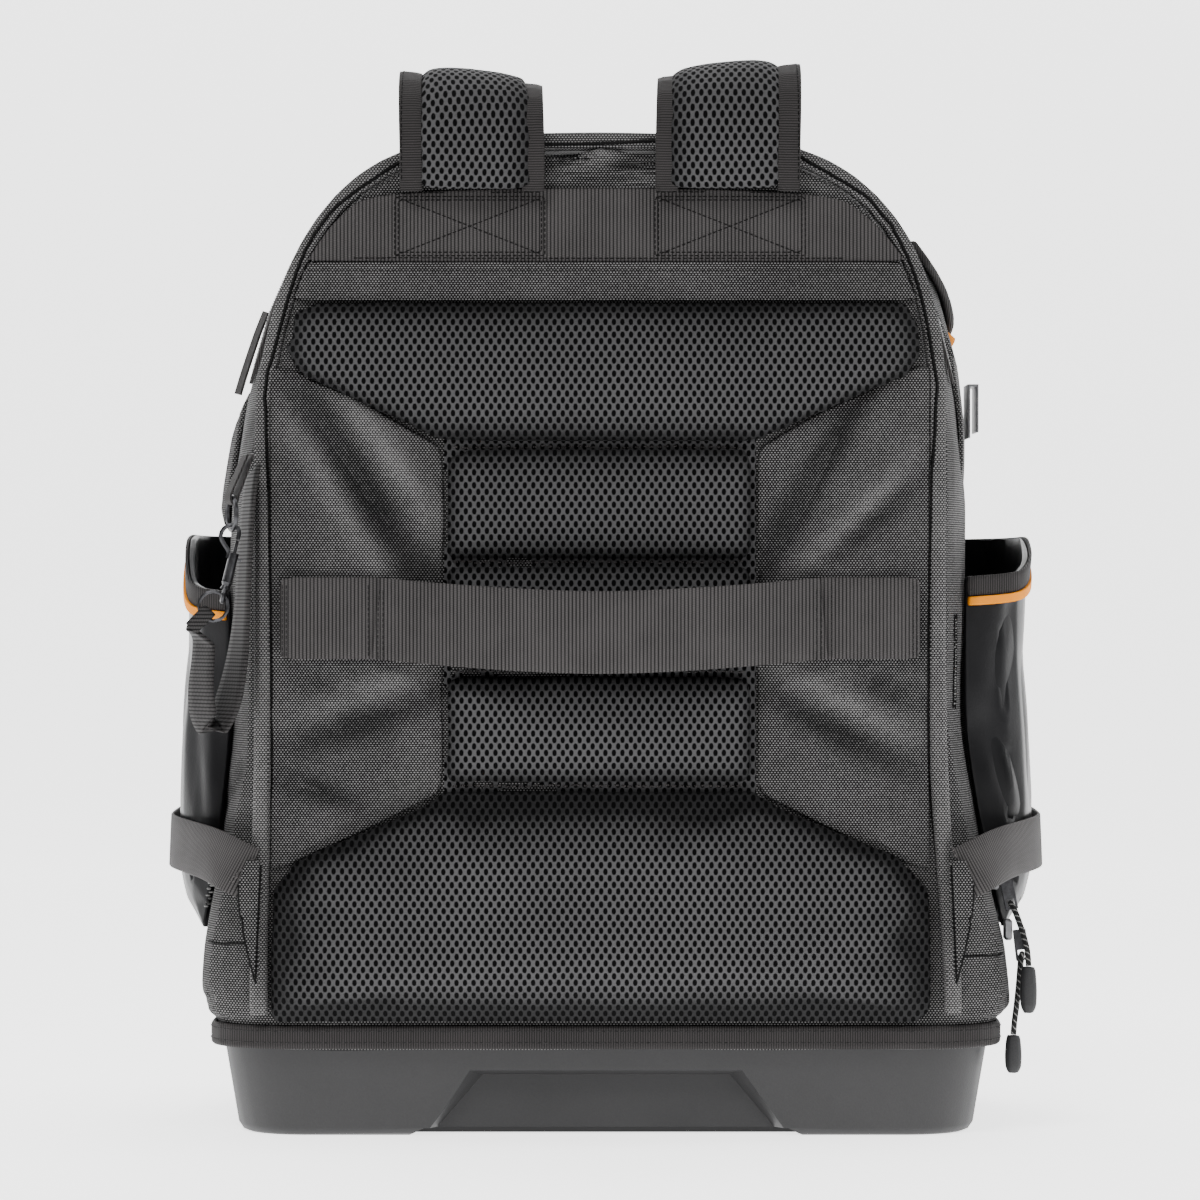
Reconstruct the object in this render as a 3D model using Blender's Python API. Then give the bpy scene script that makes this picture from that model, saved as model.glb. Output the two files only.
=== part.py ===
"""Tool backpack: a ballistic cloth body on a moulded tub, with a mesh back panel, padded shoulder
straps, webbing handle, tarpaulin side pockets and a key lanyard.

Metres, +Z up. The wearer's side faces -Y, +X is the right of that side as it is looked at, and the
origin is the middle of the tub's underside. Cloth pieces lie a small gap off the wall they are sewn to.
"""

import math
from collections import namedtuple

import bmesh
import bpy
from mathutils import Vector

# Clearances
GAP = 0.0003
CLOTH_GAP = 0.0007
TOOL_MARGIN = 0.002

# Base tub
TUB_WIDTH = 0.360
TUB_DEPTH = 0.210
TUB_HEIGHT = 0.0412
TUB_RIM = 0.0095
TUB_RIM_INSET = 0.0012
TUB_WALL = 0.003
TUB_FLOOR = 0.0065
TUB_DRAFT = 0.0065
TUB_CORNER = 0.032
TUB_EDGE = 0.004
TUB_EDGE_ROUND = 0.3
RECESS_TOP_WIDTH = 0.133
RECESS_FOOT_WIDTH = 0.188
RECESS_HEIGHT = 0.0325
RECESS_DEPTH = 0.0065
RECESS_BEVEL = 0.0085
RECESS_LIFT = 0.0036
RECESS_UNDERCUT = 0.026

# Cloth body
BODY_HEIGHT = 0.4600
BODY_WIDTH = 0.3575
BODY_SHIFT = -0.0045
BODY_WALL = 0.0025
TOP_DEPTH = 0.150
FOOT_SWELL = 0.0085
FOOT_SWELL_HEIGHT = 0.006
FLARE_TOP = 0.190
BINDING_HEIGHT = 0.0118
BINDING_THICK = 0.0032
ARCH_STEPS = 8
ARCH_RISE_POWER = 2.2
ARCH_SIDE_POWER = 4.0
ARCH_LEAN = 0.0030

# Back panel
PANEL_WIDTH = 0.304
PANEL_SHIFT = -0.0028
PIPING_RADIUS = 0.0046
PIPING_SEAT = 0.4
ZIP_THICK = 0.0016
PAD_FOOT_Z = 0.0545
PAD_EDGE = 0.0025
UPPER_PAD_TOP = 0.389
RUNG_1_TOP = 0.3205
RUNG_2_TOP = 0.2670
RUNG_3_TOP = 0.2160
LOWER_PAD_TOP = 0.1625
UPPER_SLANT_SHARE = 0.42
LOWER_SLANT_SHARE = 0.66
UPPER_PAD_INSET = 0.0065
RUNG_HALF = 0.071
UPPER_PAD_THICK = 0.014
RUNG_THICK = 0.012
LOWER_PAD_THICK = 0.019
UPPER_PAD_ROUND = 0.2
RUNG_ROUND = 0.24
LOWER_PAD_ROUND = 0.16
PAD_SIDE_ROUND = 0.07
PAD_BEND = 0.4
CHANNEL = 0.0035
WING_THICK = 0.0045
WING_ROUND = 0.3
WING_COLUMNS = (0, 0.25, 0.6, 1)
BAND_LOW = 0.4087
BAND_HIGH = 0.4433
BAND_INSET = 0.003
BAND_THICK = 0.0017
FLAP_LOW = 0.3905
FLAP_THICK = 0.0028

# Shoulder straps
STRAP_SPACING = 0.1205
STRAP_PAD_WIDTH = 0.048
STRAP_PAD_THICK = 0.013
STRAP_EDGE_WIDTH = 0.0098
STRAP_EDGE_THICK = 0.0042
STRAP_TOP = 0.4945
STRAP_RISE_RIGHT = 0.0035
STRAP_RISE_FROM = 0.9
STRAP_STEPS = 22

# Webbing
HANDLE_WEBBING = 0.038
SLIM_WEBBING = 0.025
WEBBING_THICK = 0.0018
HANDLE_SPAN = 0.208
HANDLE_REACH = 0.027
HANDLE_SAG = 0.0065
HANDLE_Z = 0.2425
HANDLE_BOW = 0.75
HANDLE_CURVE = 1.6
HANDLE_TIP = 0.06
HANDLE_SHARES = (-1, -0.93, -0.8, -0.55, -0.28, 0, 0.28, 0.55, 0.8, 0.93, 1)
HANDLE_STEPS = 20
PATCH_OVERLAP = 0.007
WEBBING_Z = 0.134
WEBBING_REACH = 0.2105
WEB_STEPS = 24
ANCHOR_THICK = 0.0024
ANCHOR_SEAT = 0.0008
Corner = namedtuple("Corner", "out height")
ANCHOR_CORNERS = (Corner(0.767, 0.52), Corner(0.755, 0.965), Corner(0.790, 0.975), Corner(0.822, 0.86))
LOCK_WIDTH = 0.034
LOCK_HEIGHT = 0.026
LOCK_THICK = 0.004
LOCK_BAR = 0.0042
LOCK_BEVEL = 0.0006
LOCK_STAND = 0.004
LOCK_END_STAND = 0.0045
LOCK_SHARE = 0.55
LOCK_LEAN = 0.45

# Side pockets
POCKET_REACH = 0.2065
POCKET_WALL = 0.002
POCKET_NEAR = -0.066
POCKET_FAR = 0.058
POCKET_FOOT_Z = 0.096
POCKET_RIM_Z = 0.283
POCKET_STEPS = 12
RIM_TAPE_HEIGHT = 0.0092
RIM_TAPE_THICK = 0.0016
RIM_PIPING_HEIGHT = 0.0042
RIM_PIPING_THICK = 0.0026

# Upper right pocket and tape clip
UPPER_POCKET_STAND = 0.0105
UPPER_POCKET_NEAR = -0.060
UPPER_POCKET_FAR = 0.030
UPPER_POCKET_FOOT_Z = 0.298
UPPER_POCKET_RIM_Z = 0.421
UPPER_RIM_FALL = 0.040
UPPER_FOOT_SHARE = 0.10
UPPER_RISE_FROM = 0.38
UPPER_RISE_OVER = 0.55
UPPER_ROWS = (0, 0.15, 0.3, 0.6, 1)
CLIP_HEIGHT = 0.026
CLIP_DEPTH = 0.030
CLIP_STEEL = 0.0012
CLIP_OPEN = 0.0028
CLIP_Z = 0.342
CLIP_Y = -0.016
SEAT_GAP = 0.0005

# Flat compartment on the left wall, behind the pocket
FAR_NEAR = -0.012
FAR_FAR = 0.088
FAR_FOOT_Z = 0.2875
FAR_TOP_Z = 0.368
FAR_STAND = 0.0048
FAR_FALL = 0.034
FAR_SIDE_ROUND = 0.3
FAR_FOOT_ROUND = 0.12
FAR_TOP_ROUND = 0.5
FAR_ROWS = (0, 0.12, 0.3, 0.5, 0.7, 0.85, 1)

# Front pocket, on the side that faces away
FRONT_POCKET_WIDTH = 0.212
FRONT_POCKET_LOW = 0.072
FRONT_POCKET_HIGH = 0.305
FRONT_POCKET_THICK = 0.022
FRONT_POCKET_WALL = 0.002
FRONT_ROUND = 0.1
FRONT_SHOULDER = 0.12
FRONT_SHOULDER_FROM = 0.7
FRONT_TUCK = 0.985
FRONT_COLUMNS = (0, 0.04, 0.1, 0.3, 0.5, 0.7, 0.9, 0.96, 1)

# Key lanyard
TAB_WIDTH = 0.009
TAB_THICK = 0.0010
TAB_RISE = 0.019
RING_WIRE = 0.0011
TAB_RING_LONG = 0.0078
TAB_RING_WIDE = 0.0075
BARREL_RADIUS = 0.0024
BARREL_BORE = 0.0013
BARREL_LENGTH = 0.0135
BOLT_RADIUS = 0.0008
BOLT_TRAVEL = 0.005
HOOK_WIRE = 0.0011
HOOK_HEIGHT = 0.0125
HOOK_WIDTH = 0.0086
HOOK_MOUTH = 0.0062
BARREL_MARGIN = 0.0015
KNOB_RADIUS = 0.0007
KNOB_REACH = 0.0042
SWIVEL_RADIUS = 0.0026
SWIVEL_LENGTH = 0.0035
SNAP_LEAN = math.radians(14)
SWIVEL_EYE = 0.0032
SPLIT_RING_RADIUS = 0.0068
SPLIT_RING_WIRE = 0.0009
KEY_STRAP_WIDTH = 0.025
KEY_STRAP_END_WIDTH = 0.007
KEY_STRAP_DROP = 0.121
KEY_STRAP_STAND = 0.0098
KEY_STRAP_RISE = 0.012
KEY_STRAP_FACING = -0.9
SPLIT_RING_LEAN = (-0.70, 0, -0.71)
EYE_SINK = 0.4
HOOK_SINK = 0.2
SWIVEL_WAIST = 0.7

# Zip pulls and cords
SLIDER_LENGTH = 0.010
SLIDER_WIDTH = 0.008
SLIDER_THICK = 0.004
SLIDER_RISE = 0.0115
SLIDER_BEVEL = 0.0008
PULL_WIDTH = 0.0062
PULL_THICK = 0.0013
PULL_BEVEL = 0.0003
PULL_LEFT_TOP = 0.388
PULL_LEFT_LENGTH = 0.040
PULL_LEFT_WIDTH = 0.009
PULL_LEFT_THICK = 0.002
PULL_LEFT_STAND = 0.0040
PULL_LEFT_BEHIND_ZIP = 0.0047
PULL_LEFT_FLARE = 1.6
PULL_LEFT_SIDE = (0.45, -0.89, 0.1)
PULL_LEFT_STEPS = 4
CORD_RADIUS = 0.0013
CORD_STEPS = 12
TIP_RADIUS = 0.0042
TIP_LENGTHS = (0.022, 0.018)
TipRing = namedtuple("TipRing", "wide deep")
TIP_RINGS = (TipRing(0.55, 1), TipRing(0.95, 0.85), TipRing(1, 0.5), TipRing(0.86, 0.12), TipRing(0.7, 0))

# Colours: linear red, green, blue, then roughness and metallic
BALLISTIC = (0.055, 0.053, 0.053, 0.75, 0.0)
MESH_CLOTH = (0.040, 0.040, 0.041, 0.85, 0.0)
WEBBING = (0.052, 0.050, 0.050, 0.70, 0.0)
TAPE = (0.040, 0.038, 0.038, 0.70, 0.0)
TARPAULIN = (0.045, 0.045, 0.048, 0.38, 0.0)
YELLOW = (0.90, 0.44, 0.045, 0.55, 0.0)
PLASTIC = (0.085, 0.082, 0.084, 0.55, 0.0)
BLACK_METAL = (0.035, 0.035, 0.037, 0.30, 0.9)
CHROME = (0.55, 0.55, 0.56, 0.22, 1.0)
RUBBER = (0.022, 0.022, 0.023, 0.65, 0.0)
CORD_BLACK = (0.020, 0.020, 0.020, 0.80, 0.0)

# Places that follow from the sizes
FOOT_Z = TUB_HEIGHT + GAP
FOOT_OFFSET = CLOTH_GAP + BODY_WALL
BODY_DEPTH = TUB_DEPTH + 2 * FOOT_OFFSET
BACK_Y = -BODY_DEPTH / 2
BINDING_TOP = FOOT_Z + BINDING_HEIGHT
STRAP_X = STRAP_SPACING / 2
PANEL_FACE = BACK_Y - CLOTH_GAP

# Where the key tab's ring hangs outside the left seam, and the way the tab's width runs
TAB_PLACE = Vector((-0.1735, BACK_Y - 0.0155, 0.2990))
TAB_ACROSS = Vector((0.35, -0.94, 0)).normalized()
TAB_LEAN = Vector((0.36, 0.40, 1))

Section = namedtuple("Section", "depth swell shoulder top")
BODY_SECTIONS = (
    Section(0.000, 0.00, 0.71, 1.000),
    Section(0.012, 0.00, 0.71, 1.000),
    Section(0.045, 0.03, 0.71, 0.998),
    Section(0.085, 0.42, 0.66, 1.004),
    Section(0.140, 0.60, 0.62, 1.008),
    Section(0.210, 0.74, 0.59, 1.010),
    Section(0.340, 0.90, 0.56, 1.010),
    Section(0.500, 1.00, 0.54, 1.004),
    Section(0.700, 1.00, 0.54, 0.980),
    Section(0.860, 0.90, 0.52, 0.945),
    Section(0.950, 0.68, 0.50, 0.915),
    Section(0.987, 0.52, 0.49, 0.895),
    Section(1.000, 0.40, 0.48, 0.880),
)
SIDE_HEIGHTS = (0.0, 0.22, 0.55, 1.0)
ZIP_SECTIONS = BODY_SECTIONS[4:6]

Strap = namedtuple("Strap", "depth height splay tilt")
STRAP_ROUTE = (
    Strap(-0.038, 0.893, 0.00, 0),
    Strap(-0.060, 0.930, 0.00, 1),
    Strap(-0.050, 0.966, 0.01, 3),
    Strap(0.010, 0.991, 0.02, 5),
    Strap(0.100, 1.000, 0.03, 6),
    Strap(0.230, 0.992, 0.04, 7),
    Strap(0.400, 0.975, 0.07, 6),
    Strap(0.560, 0.950, 0.11, 5),
)

# The strap's fall down the front: how far it stands off the front wall, in widths of its pad
Fall = namedtuple("Fall", "stand height splay tilt")
STRAP_FALL = (
    Fall(-0.12, 0.920, 0.16, 4),
    Fall(0.24, 0.866, 0.22, 3),
    Fall(0.45, 0.780, 0.29, 3),
    Fall(0.60, 0.680, 0.38, 2),
    Fall(0.74, 0.550, 0.43, 2),
    Fall(0.88, 0.430, 0.47, 2),
)

# Shares across a strip, each with the share of its thickness that stands there
FLAT = ((0.0, 1.0), (1.0, 1.0))
PADDED = ((0.0, 0.36), (0.08, 0.66), (0.25, 0.93), (0.5, 1.0), (0.75, 0.93), (0.92, 0.66), (1.0, 0.36))

Web = namedtuple("Web", "out depth rise lean")
LOWER_WEB = (
    Web(0.786, -0.060, -0.075, 0.72),
    Web(0.822, -0.048, -0.050, 0.52),
    Web(0.880, 0.045, -0.015, 0.20),
    Web(0.940, 0.180, 0.000, 0.06),
    Web(0.990, 0.330, 0.010, 0.04),
    Web(1.000, 0.520, 0.015, 0.04),
    Web(0.990, 0.700, 0.025, 0.03),
    Web(0.950, 0.860, 0.035, 0.02),
    Web(0.865, 0.985, 0.050, 0.00),
    Web(0.720, 1.060, 0.075, -0.06),
)

PocketPlan = namedtuple("PocketPlan", "along bulge")
POCKET_PLAN = (
    PocketPlan(0.00, 0.00),
    PocketPlan(0.05, 0.45),
    PocketPlan(0.14, 0.78),
    PocketPlan(0.28, 0.96),
    PocketPlan(0.45, 1.00),
    PocketPlan(0.65, 0.98),
    PocketPlan(0.82, 0.84),
    PocketPlan(0.94, 0.50),
    PocketPlan(1.00, 0.00),
)
PocketRow = namedtuple("PocketRow", "height left right")
POCKET_ROWS = (
    PocketRow(0.00, 0.10, 0.10),
    PocketRow(0.07, 0.80, 0.80),
    PocketRow(0.14, 0.97, 0.97),
    PocketRow(0.34, 1.00, 1.00),
    PocketRow(0.55, 0.92, 0.95),
    PocketRow(0.74, 0.78, 0.86),
    PocketRow(0.90, 0.76, 0.90),
    PocketRow(1.00, 0.80, 0.97),
)
RimDip = namedtuple("RimDip", "along left right")
RIM_DIPS = (
    RimDip(0.00, 0.150, 0.112),
    RimDip(0.14, 0.139, 0.102),
    RimDip(0.30, 0.080, 0.070),
    RimDip(0.48, 0.016, 0.037),
    RimDip(0.65, 0.000, 0.005),
    RimDip(1.00, 0.005, 0.011),
)

UpperStand = namedtuple("UpperStand", "along stand")
UPPER_STANDS = (
    UpperStand(0.00, 0.38),
    UpperStand(0.12, 0.52),
    UpperStand(0.35, 0.78),
    UpperStand(0.60, 1.00),
    UpperStand(0.85, 0.80),
    UpperStand(1.00, 0.22),
)

# The folded tape's turn round its ring: shares of its turn across it, and of its rise
TabFold = namedtuple("TabFold", "across rise")
TAB_FOLDS = (
    TabFold(-0.7, 1.00),
    TabFold(-1.0, 0.22),
    TabFold(-1.0, 0.02),
    TabFold(-0.8, -0.13),
    TabFold(0.0, -0.19),
    TabFold(0.8, -0.13),
    TabFold(1.0, 0.02),
    TabFold(1.0, 0.22),
    TabFold(0.7, 1.00),
)

# The hook's bend over the barrel: shares of its width and of its height
Bend = namedtuple("Bend", "wide high")
HOOK_BENDS = (
    Bend(0.66, 0.24),
    Bend(0.94, 0.50),
    Bend(0.86, 0.80),
    Bend(0.50, 1.00),
    Bend(0.14, 0.93),
    Bend(0.00, 0.74),
)

# The key strap's hang: shares of its drop along X and down, of its width along Y, and how its width faces
Fold = namedtuple("Fold", "x y drop side_x side_z width")
KEY_STRAP_FOLDS = (
    Fold(0.075, 0.22, 0.00, 0.25, 0.00, 1.0),
    Fold(0.060, 0.05, 0.12, 0.25, 0.00, 1.0),
    Fold(0.048, 0.00, 0.30, 0.28, 0.00, 1.0),
    Fold(0.036, 0.00, 0.54, 0.30, 0.00, 1.0),
    Fold(0.016, -0.02, 0.74, 0.45, 0.05, 1.0),
    Fold(-0.022, -0.01, 0.90, 0.60, 0.10, 1.0),
    Fold(-0.068, 0.04, 0.985, 0.62, 0.12, 1.0),
    Fold(-0.112, 0.06, 0.95, 0.60, 0.08, 1.0),
    Fold(-0.124, 0.06, 0.82, 0.55, 0.00, 0.95),
    Fold(-0.110, 0.03, 0.66, 0.55, -0.10, 0.8),
)
# Its wrap round the split ring's lowest wire: shares of its turn away from the ring and out of its plane
Wrap = namedtuple("Wrap", "down out")
KEY_STRAP_WRAP = (
    Wrap(3.4, -0.72),
    Wrap(1.4, -1.0),
    Wrap(0.0, -1.05),
    Wrap(-1.2, -0.8),
    Wrap(-1.7, 0.0),
    Wrap(-1.2, 0.8),
    Wrap(0.0, 1.05),
    Wrap(1.4, 1.0),
    Wrap(3.2, 0.8),
)

# Routes of the two free cords, tip first: the middle between a cord's two legs and half their spacing,
# up to the crown where the cord passes through the pull's eye
Leg = namedtuple("Leg", "x y z apart")
CORD_ROUTES = (
    (Leg(0.1993, -0.0825, 0.0785, 0.0014), Leg(0.1988, -0.0813, 0.0855, 0.0015),
     Leg(0.1972, -0.0782, 0.0930, 0.0019), Leg(0.1952, -0.0748, 0.0995, 0.0023),
     Leg(0.1932, -0.0720, 0.1050, 0.0026), Leg(0.1921, -0.0715, 0.1068, 0.0017),
     Leg(0.1918, -0.0715, 0.1075, 0.0)),
    (Leg(0.1928, -0.0740, 0.0455, 0.0014), Leg(0.1934, -0.0738, 0.0520, 0.0015),
     Leg(0.1946, -0.0732, 0.0610, 0.0018), Leg(0.1956, -0.0724, 0.0700, 0.0022),
     Leg(0.1966, -0.0716, 0.0810, 0.0026), Leg(0.1970, -0.0715, 0.0828, 0.0017),
     Leg(0.1971, -0.0715, 0.0835, 0.0)),
)


def clear_scene():
    for old in list(bpy.data.objects):
        bpy.data.objects.remove(old, do_unlink=True)


def material(name, look):
    found = bpy.data.materials.get(name)
    if found:
        return found
    made = bpy.data.materials.new(name)
    made.use_nodes = True
    shader = made.node_tree.nodes["Principled BSDF"]
    shader.inputs["Base Color"].default_value = (*look[:3], 1)
    shader.inputs["Roughness"].default_value = look[3]
    shader.inputs["Metallic"].default_value = look[4]
    return made


def put(name, data, look, parent=None, smooth=30):
    """Adds an object with its own material, shaded smooth up to an edge angle."""
    made = bpy.data.objects.new(name, data)
    bpy.context.scene.collection.objects.link(made)
    data.materials.append(material(f"{name}_finish", look))
    if isinstance(data, bpy.types.Mesh):
        data.shade_smooth()
        data.set_sharp_from_angle(angle=math.radians(smooth))
    made.parent = parent
    return made


def mesh_from(name, points, faces):
    mesh = bpy.data.meshes.new(name)
    mesh.from_pydata([tuple(p) for p in points], [], faces)
    shape = bmesh.new()
    shape.from_mesh(mesh)
    bmesh.ops.recalc_face_normals(shape, faces=shape.faces)
    shape.to_mesh(mesh)
    shape.free()
    return mesh


def slab_mesh(name, front, back, ring=False):
    """A closed solid between two grids of points with the same rows and columns. A ring joins
    each row's last column to its first."""
    rows = len(front)
    columns = len(front[0])
    points = [p for row in front for p in row] + [p for row in back for p in row]
    far = rows * columns
    last = columns if ring else columns - 1
    faces = []
    for i in range(rows - 1):
        for j in range(last):
            k = (j + 1) % columns
            a, b = i * columns + j, i * columns + k
            c, d = (i + 1) * columns + k, (i + 1) * columns + j
            faces += [(a, b, c, d), (far + d, far + c, far + b, far + a)]
    for j in range(last):
        k = (j + 1) % columns
        top = (rows - 1) * columns
        faces += [(k, j, far + j, far + k), (top + j, top + k, far + top + k, far + top + j)]
    if not ring:
        for i in range(rows - 1):
            a, b = i * columns, (i + 1) * columns
            c, d = a + columns - 1, b + columns - 1
            faces += [(a, b, far + b, far + a), (d, c, far + c, far + d)]
    return mesh_from(name, points, faces)


def slab(name, front, back, look, parent=None, ring=False):
    return put(name, slab_mesh(name, front, back, ring), look, parent)


def prism(name, outline, low, high, look, parent=None):
    """A flat piece: an outline of (x, z) points, from y = low to y = high."""
    near = [(x, low, z) for x, z in outline]
    far = [(x, high, z) for x, z in outline]
    count = len(outline)
    faces = [tuple(range(count)), tuple(range(2 * count - 1, count - 1, -1))]
    faces += [(i, (i + 1) % count, count + (i + 1) % count, count + i) for i in range(count)]
    return put(name, mesh_from(name, near + far, faces), look, parent)


def box(name, size, centre, look, parent=None, bevel=0.0):
    shape = bmesh.new()
    bmesh.ops.create_cube(shape, size=1)
    bmesh.ops.scale(shape, vec=size, verts=shape.verts)
    if bevel:
        bmesh.ops.bevel(shape, geom=shape.edges[:], offset=bevel, segments=1, affect="EDGES")
    mesh = bpy.data.meshes.new(name)
    shape.to_mesh(mesh)
    shape.free()
    made = put(name, mesh, look, parent)
    made.location = centre
    return made


def turned(name, profile, look, sides=12):
    """A solid turned round the local Z axis from a profile of (radius, z) points that starts and
    ends on the axis or closes on itself."""
    closed = profile[0][0] > 0
    rings, points = [], []
    for radius, z in profile:
        if radius == 0:
            rings.append([len(points)] * sides)
            points.append((0, 0, z))
            continue
        rings.append([len(points) + k for k in range(sides)])
        turns = [2 * math.pi * k / sides for k in range(sides)]
        points += [(radius * math.cos(a), radius * math.sin(a), z) for a in turns]
    faces = []
    for lower, upper in zip(rings, rings[1:] + rings[:1] if closed else rings[1:]):
        for k in range(sides):
            n = (k + 1) % sides
            corners = dict.fromkeys((lower[k], lower[n], upper[n], upper[k]))
            faces.append(tuple(corners))
    return put(name, mesh_from(name, points, faces), look)


def wire(name, points, radius, look, cyclic=False, resolution=1, parent=None):
    """A round wire or cord along points."""
    curve = bpy.data.curves.new(name, "CURVE")
    curve.dimensions = "3D"
    spline = curve.splines.new("POLY")
    spline.points.add(len(points) - 1)
    for spot, place in zip(spline.points, points):
        spot.co = (*place, 1)
    spline.use_cyclic_u = cyclic
    curve.bevel_depth = radius
    curve.bevel_resolution = resolution
    curve.use_fill_caps = not cyclic
    return put(name, curve, look, parent)


def wire_tool(name, points, radius, look, cyclic=False, parent=None):
    """The same round wire as a mesh, for joining to another piece."""
    curve = wire(name, points, radius, look, cyclic)
    mesh = bpy.data.meshes.new_from_object(curve)
    bpy.data.objects.remove(curve, do_unlink=True)
    return put(name, mesh, look, parent)


def hide_tool(tool):
    tool.hide_render = True
    tool.display_type = "WIRE"
    return tool


def cut(target, tool, operation="DIFFERENCE"):
    change = target.modifiers.new(tool.name, "BOOLEAN")
    change.operation = operation
    change.solver = "EXACT"
    change.object = hide_tool(tool)


def mix(a, b, share):
    return a + (b - a) * share


def clamp(share):
    return min(max(share, 0.0), 1.0)


def ease(share):
    share = clamp(share)
    return share * share * (3 - 2 * share)


def read_table(rows, column, value, key=0):
    """The column's value where the key column reaches value, between the table's rows."""
    if value <= rows[0][key]:
        return getattr(rows[0], column)
    for low, high in zip(rows, rows[1:]):
        if value <= high[key]:
            share = (value - low[key]) / (high[key] - low[key])
            return mix(getattr(low, column), getattr(high, column), share)
    return getattr(rows[-1], column)


def smooth_path(points, steps):
    """Points spread evenly in share along a Catmull-Rom curve through the given ones."""
    ends = [points[0] * 2 - points[1], *points, points[-1] * 2 - points[-2]]
    path = []
    for step in range(steps + 1):
        place = (len(points) - 1) * step / steps
        i = min(int(place), len(points) - 2)
        t = place - i
        a, b, c, d = ends[i:i + 4]
        path.append(
            (b * 2 + (c - a) * t + (a * 2 - b * 5 + c * 4 - d) * t**2
             + (b * 3 - a - c * 3 + d) * t**3) / 2
        )
    return path


def rounded_rectangle(half_x, half_y, corner, steps=6):
    """Plan points, counterclockwise from the near end of the right side."""
    points = []
    quarter = math.pi / 2
    signs = ((1, -1, -1), (1, 1, 0), (-1, 1, 1), (-1, -1, 2))
    for side_x, side_y, turn in signs:
        for step in range(steps + 1):
            angle = quarter * (turn + step / steps)
            points.append((side_x * (half_x - corner) + corner * math.cos(angle),
                           side_y * (half_y - corner) + corner * math.sin(angle)))
    return points


def tub_plan(offset, z):
    """The tub's outer plan at a height, grown by offset."""
    lean = TUB_DRAFT * (1 - min(z / TUB_HEIGHT, 1))
    return rounded_rectangle(TUB_WIDTH / 2 - lean + offset, TUB_DEPTH / 2 - lean + offset,
                             TUB_CORNER + offset)


def ring_at(plan, z):
    return [Vector((x, y, z)) for x, y in plan]


def recess_solid(name, grow, foot, near_y):
    """The trapezoid recess with bevelled sides, grown on every side, from a foot height up. near_y gives
    its near face's depth at a height."""
    floor_y = -TUB_DEPTH / 2 + TUB_DRAFT + RECESS_DEPTH + grow
    top = RECESS_HEIGHT + grow
    mouth_top = RECESS_TOP_WIDTH / 2 + grow
    mouth_foot = RECESS_FOOT_WIDTH / 2 + grow
    near = [(-mouth_foot, foot), (-mouth_top, top), (mouth_top, top), (mouth_foot, foot)]
    inner_top = mouth_top - RECESS_BEVEL
    inner_foot = mouth_foot - RECESS_BEVEL
    low_top = top - RECESS_BEVEL / 2
    far = [(-inner_foot, foot), (-inner_top, low_top), (inner_top, low_top), (inner_foot, foot)]
    points = [(x, near_y(z), z) for x, z in near] + [(x, floor_y, z) for x, z in far]
    faces = [(0, 1, 2, 3), (7, 6, 5, 4)] + [(i, i + 4, (i + 1) % 4 + 4, (i + 1) % 4) for i in range(4)]
    return put(name, mesh_from(name, points, faces), PLASTIC)


def tub_face(z):
    """Depth of the tub's drafted near wall at a height."""
    return -TUB_DEPTH / 2 + TUB_DRAFT * (1 - z / TUB_HEIGHT)


def undercut_solid():
    """The shallow lift of the tub's lower edge under the recess."""
    half = RECESS_FOOT_WIDTH / 2
    foot = -TOOL_MARGIN / 2
    outline = [(-half, foot), (-half + RECESS_BEVEL, RECESS_LIFT), (half - RECESS_BEVEL, RECESS_LIFT),
               (half, foot)]
    low = -TUB_DEPTH / 2 - TOOL_MARGIN
    return prism("undercut_tool", outline, low, low + RECESS_UNDERCUT, PLASTIC)


def make_tub():
    top = TUB_HEIGHT + TUB_RIM
    low = TUB_EDGE * TUB_EDGE_ROUND
    outer = [ring_at(tub_plan(-TUB_EDGE, 0), 0), ring_at(tub_plan(-low, 0), low),
             ring_at(tub_plan(0, TUB_EDGE), TUB_EDGE), ring_at(tub_plan(0, TUB_HEIGHT), TUB_HEIGHT),
             ring_at(tub_plan(-TUB_RIM_INSET, TUB_HEIGHT), TUB_HEIGHT),
             ring_at(tub_plan(-TUB_RIM_INSET, top), top)]
    inner = [ring_at(tub_plan(-TUB_WALL, top), top), ring_at(tub_plan(-TUB_WALL, TUB_HEIGHT), TUB_HEIGHT),
             ring_at(tub_plan(-TUB_WALL, TUB_FLOOR), TUB_FLOOR)]
    rings = outer + inner
    count = len(outer[0])
    points = [p for ring in rings for p in ring]
    faces = [tuple(range(count)), tuple(range(len(points) - count, len(points)))]
    for i in range(len(rings) - 1):
        for j in range(count):
            k = (j + 1) % count
            faces.append((i * count + j, i * count + k, (i + 1) * count + k, (i + 1) * count + j))
    tub = put("base_tub", mesh_from("base_tub", points, faces), PLASTIC)
    backing = recess_solid("recess_backing", TUB_WALL, TUB_EDGE, lambda z: tub_face(z) + TUB_WALL / 2)
    cut(tub, backing, "UNION")
    cut(tub, recess_solid("recess_tool", 0, -TUB_EDGE, lambda z: -TUB_DEPTH / 2 - TUB_EDGE))
    cut(tub, undercut_solid())
    return tub


def make_base_binding():
    inner_at = FOOT_OFFSET + CLOTH_GAP
    inner = tub_plan(inner_at, TUB_HEIGHT)
    outer = tub_plan(inner_at + BINDING_THICK, TUB_HEIGHT)
    top = BINDING_TOP - CLOTH_GAP
    front = [ring_at(outer, FOOT_Z), ring_at(outer, top)]
    back = [ring_at(inner, FOOT_Z), ring_at(inner, top)]
    return slab("base_binding", front, back, TAPE, ring=True)


def depth_at(z):
    """The cloth body's depth, from the back wall to the front wall."""
    return mix(BODY_DEPTH, TOP_DEPTH, max(z - BINDING_TOP, 0) / (BODY_HEIGHT - BINDING_TOP))


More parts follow.
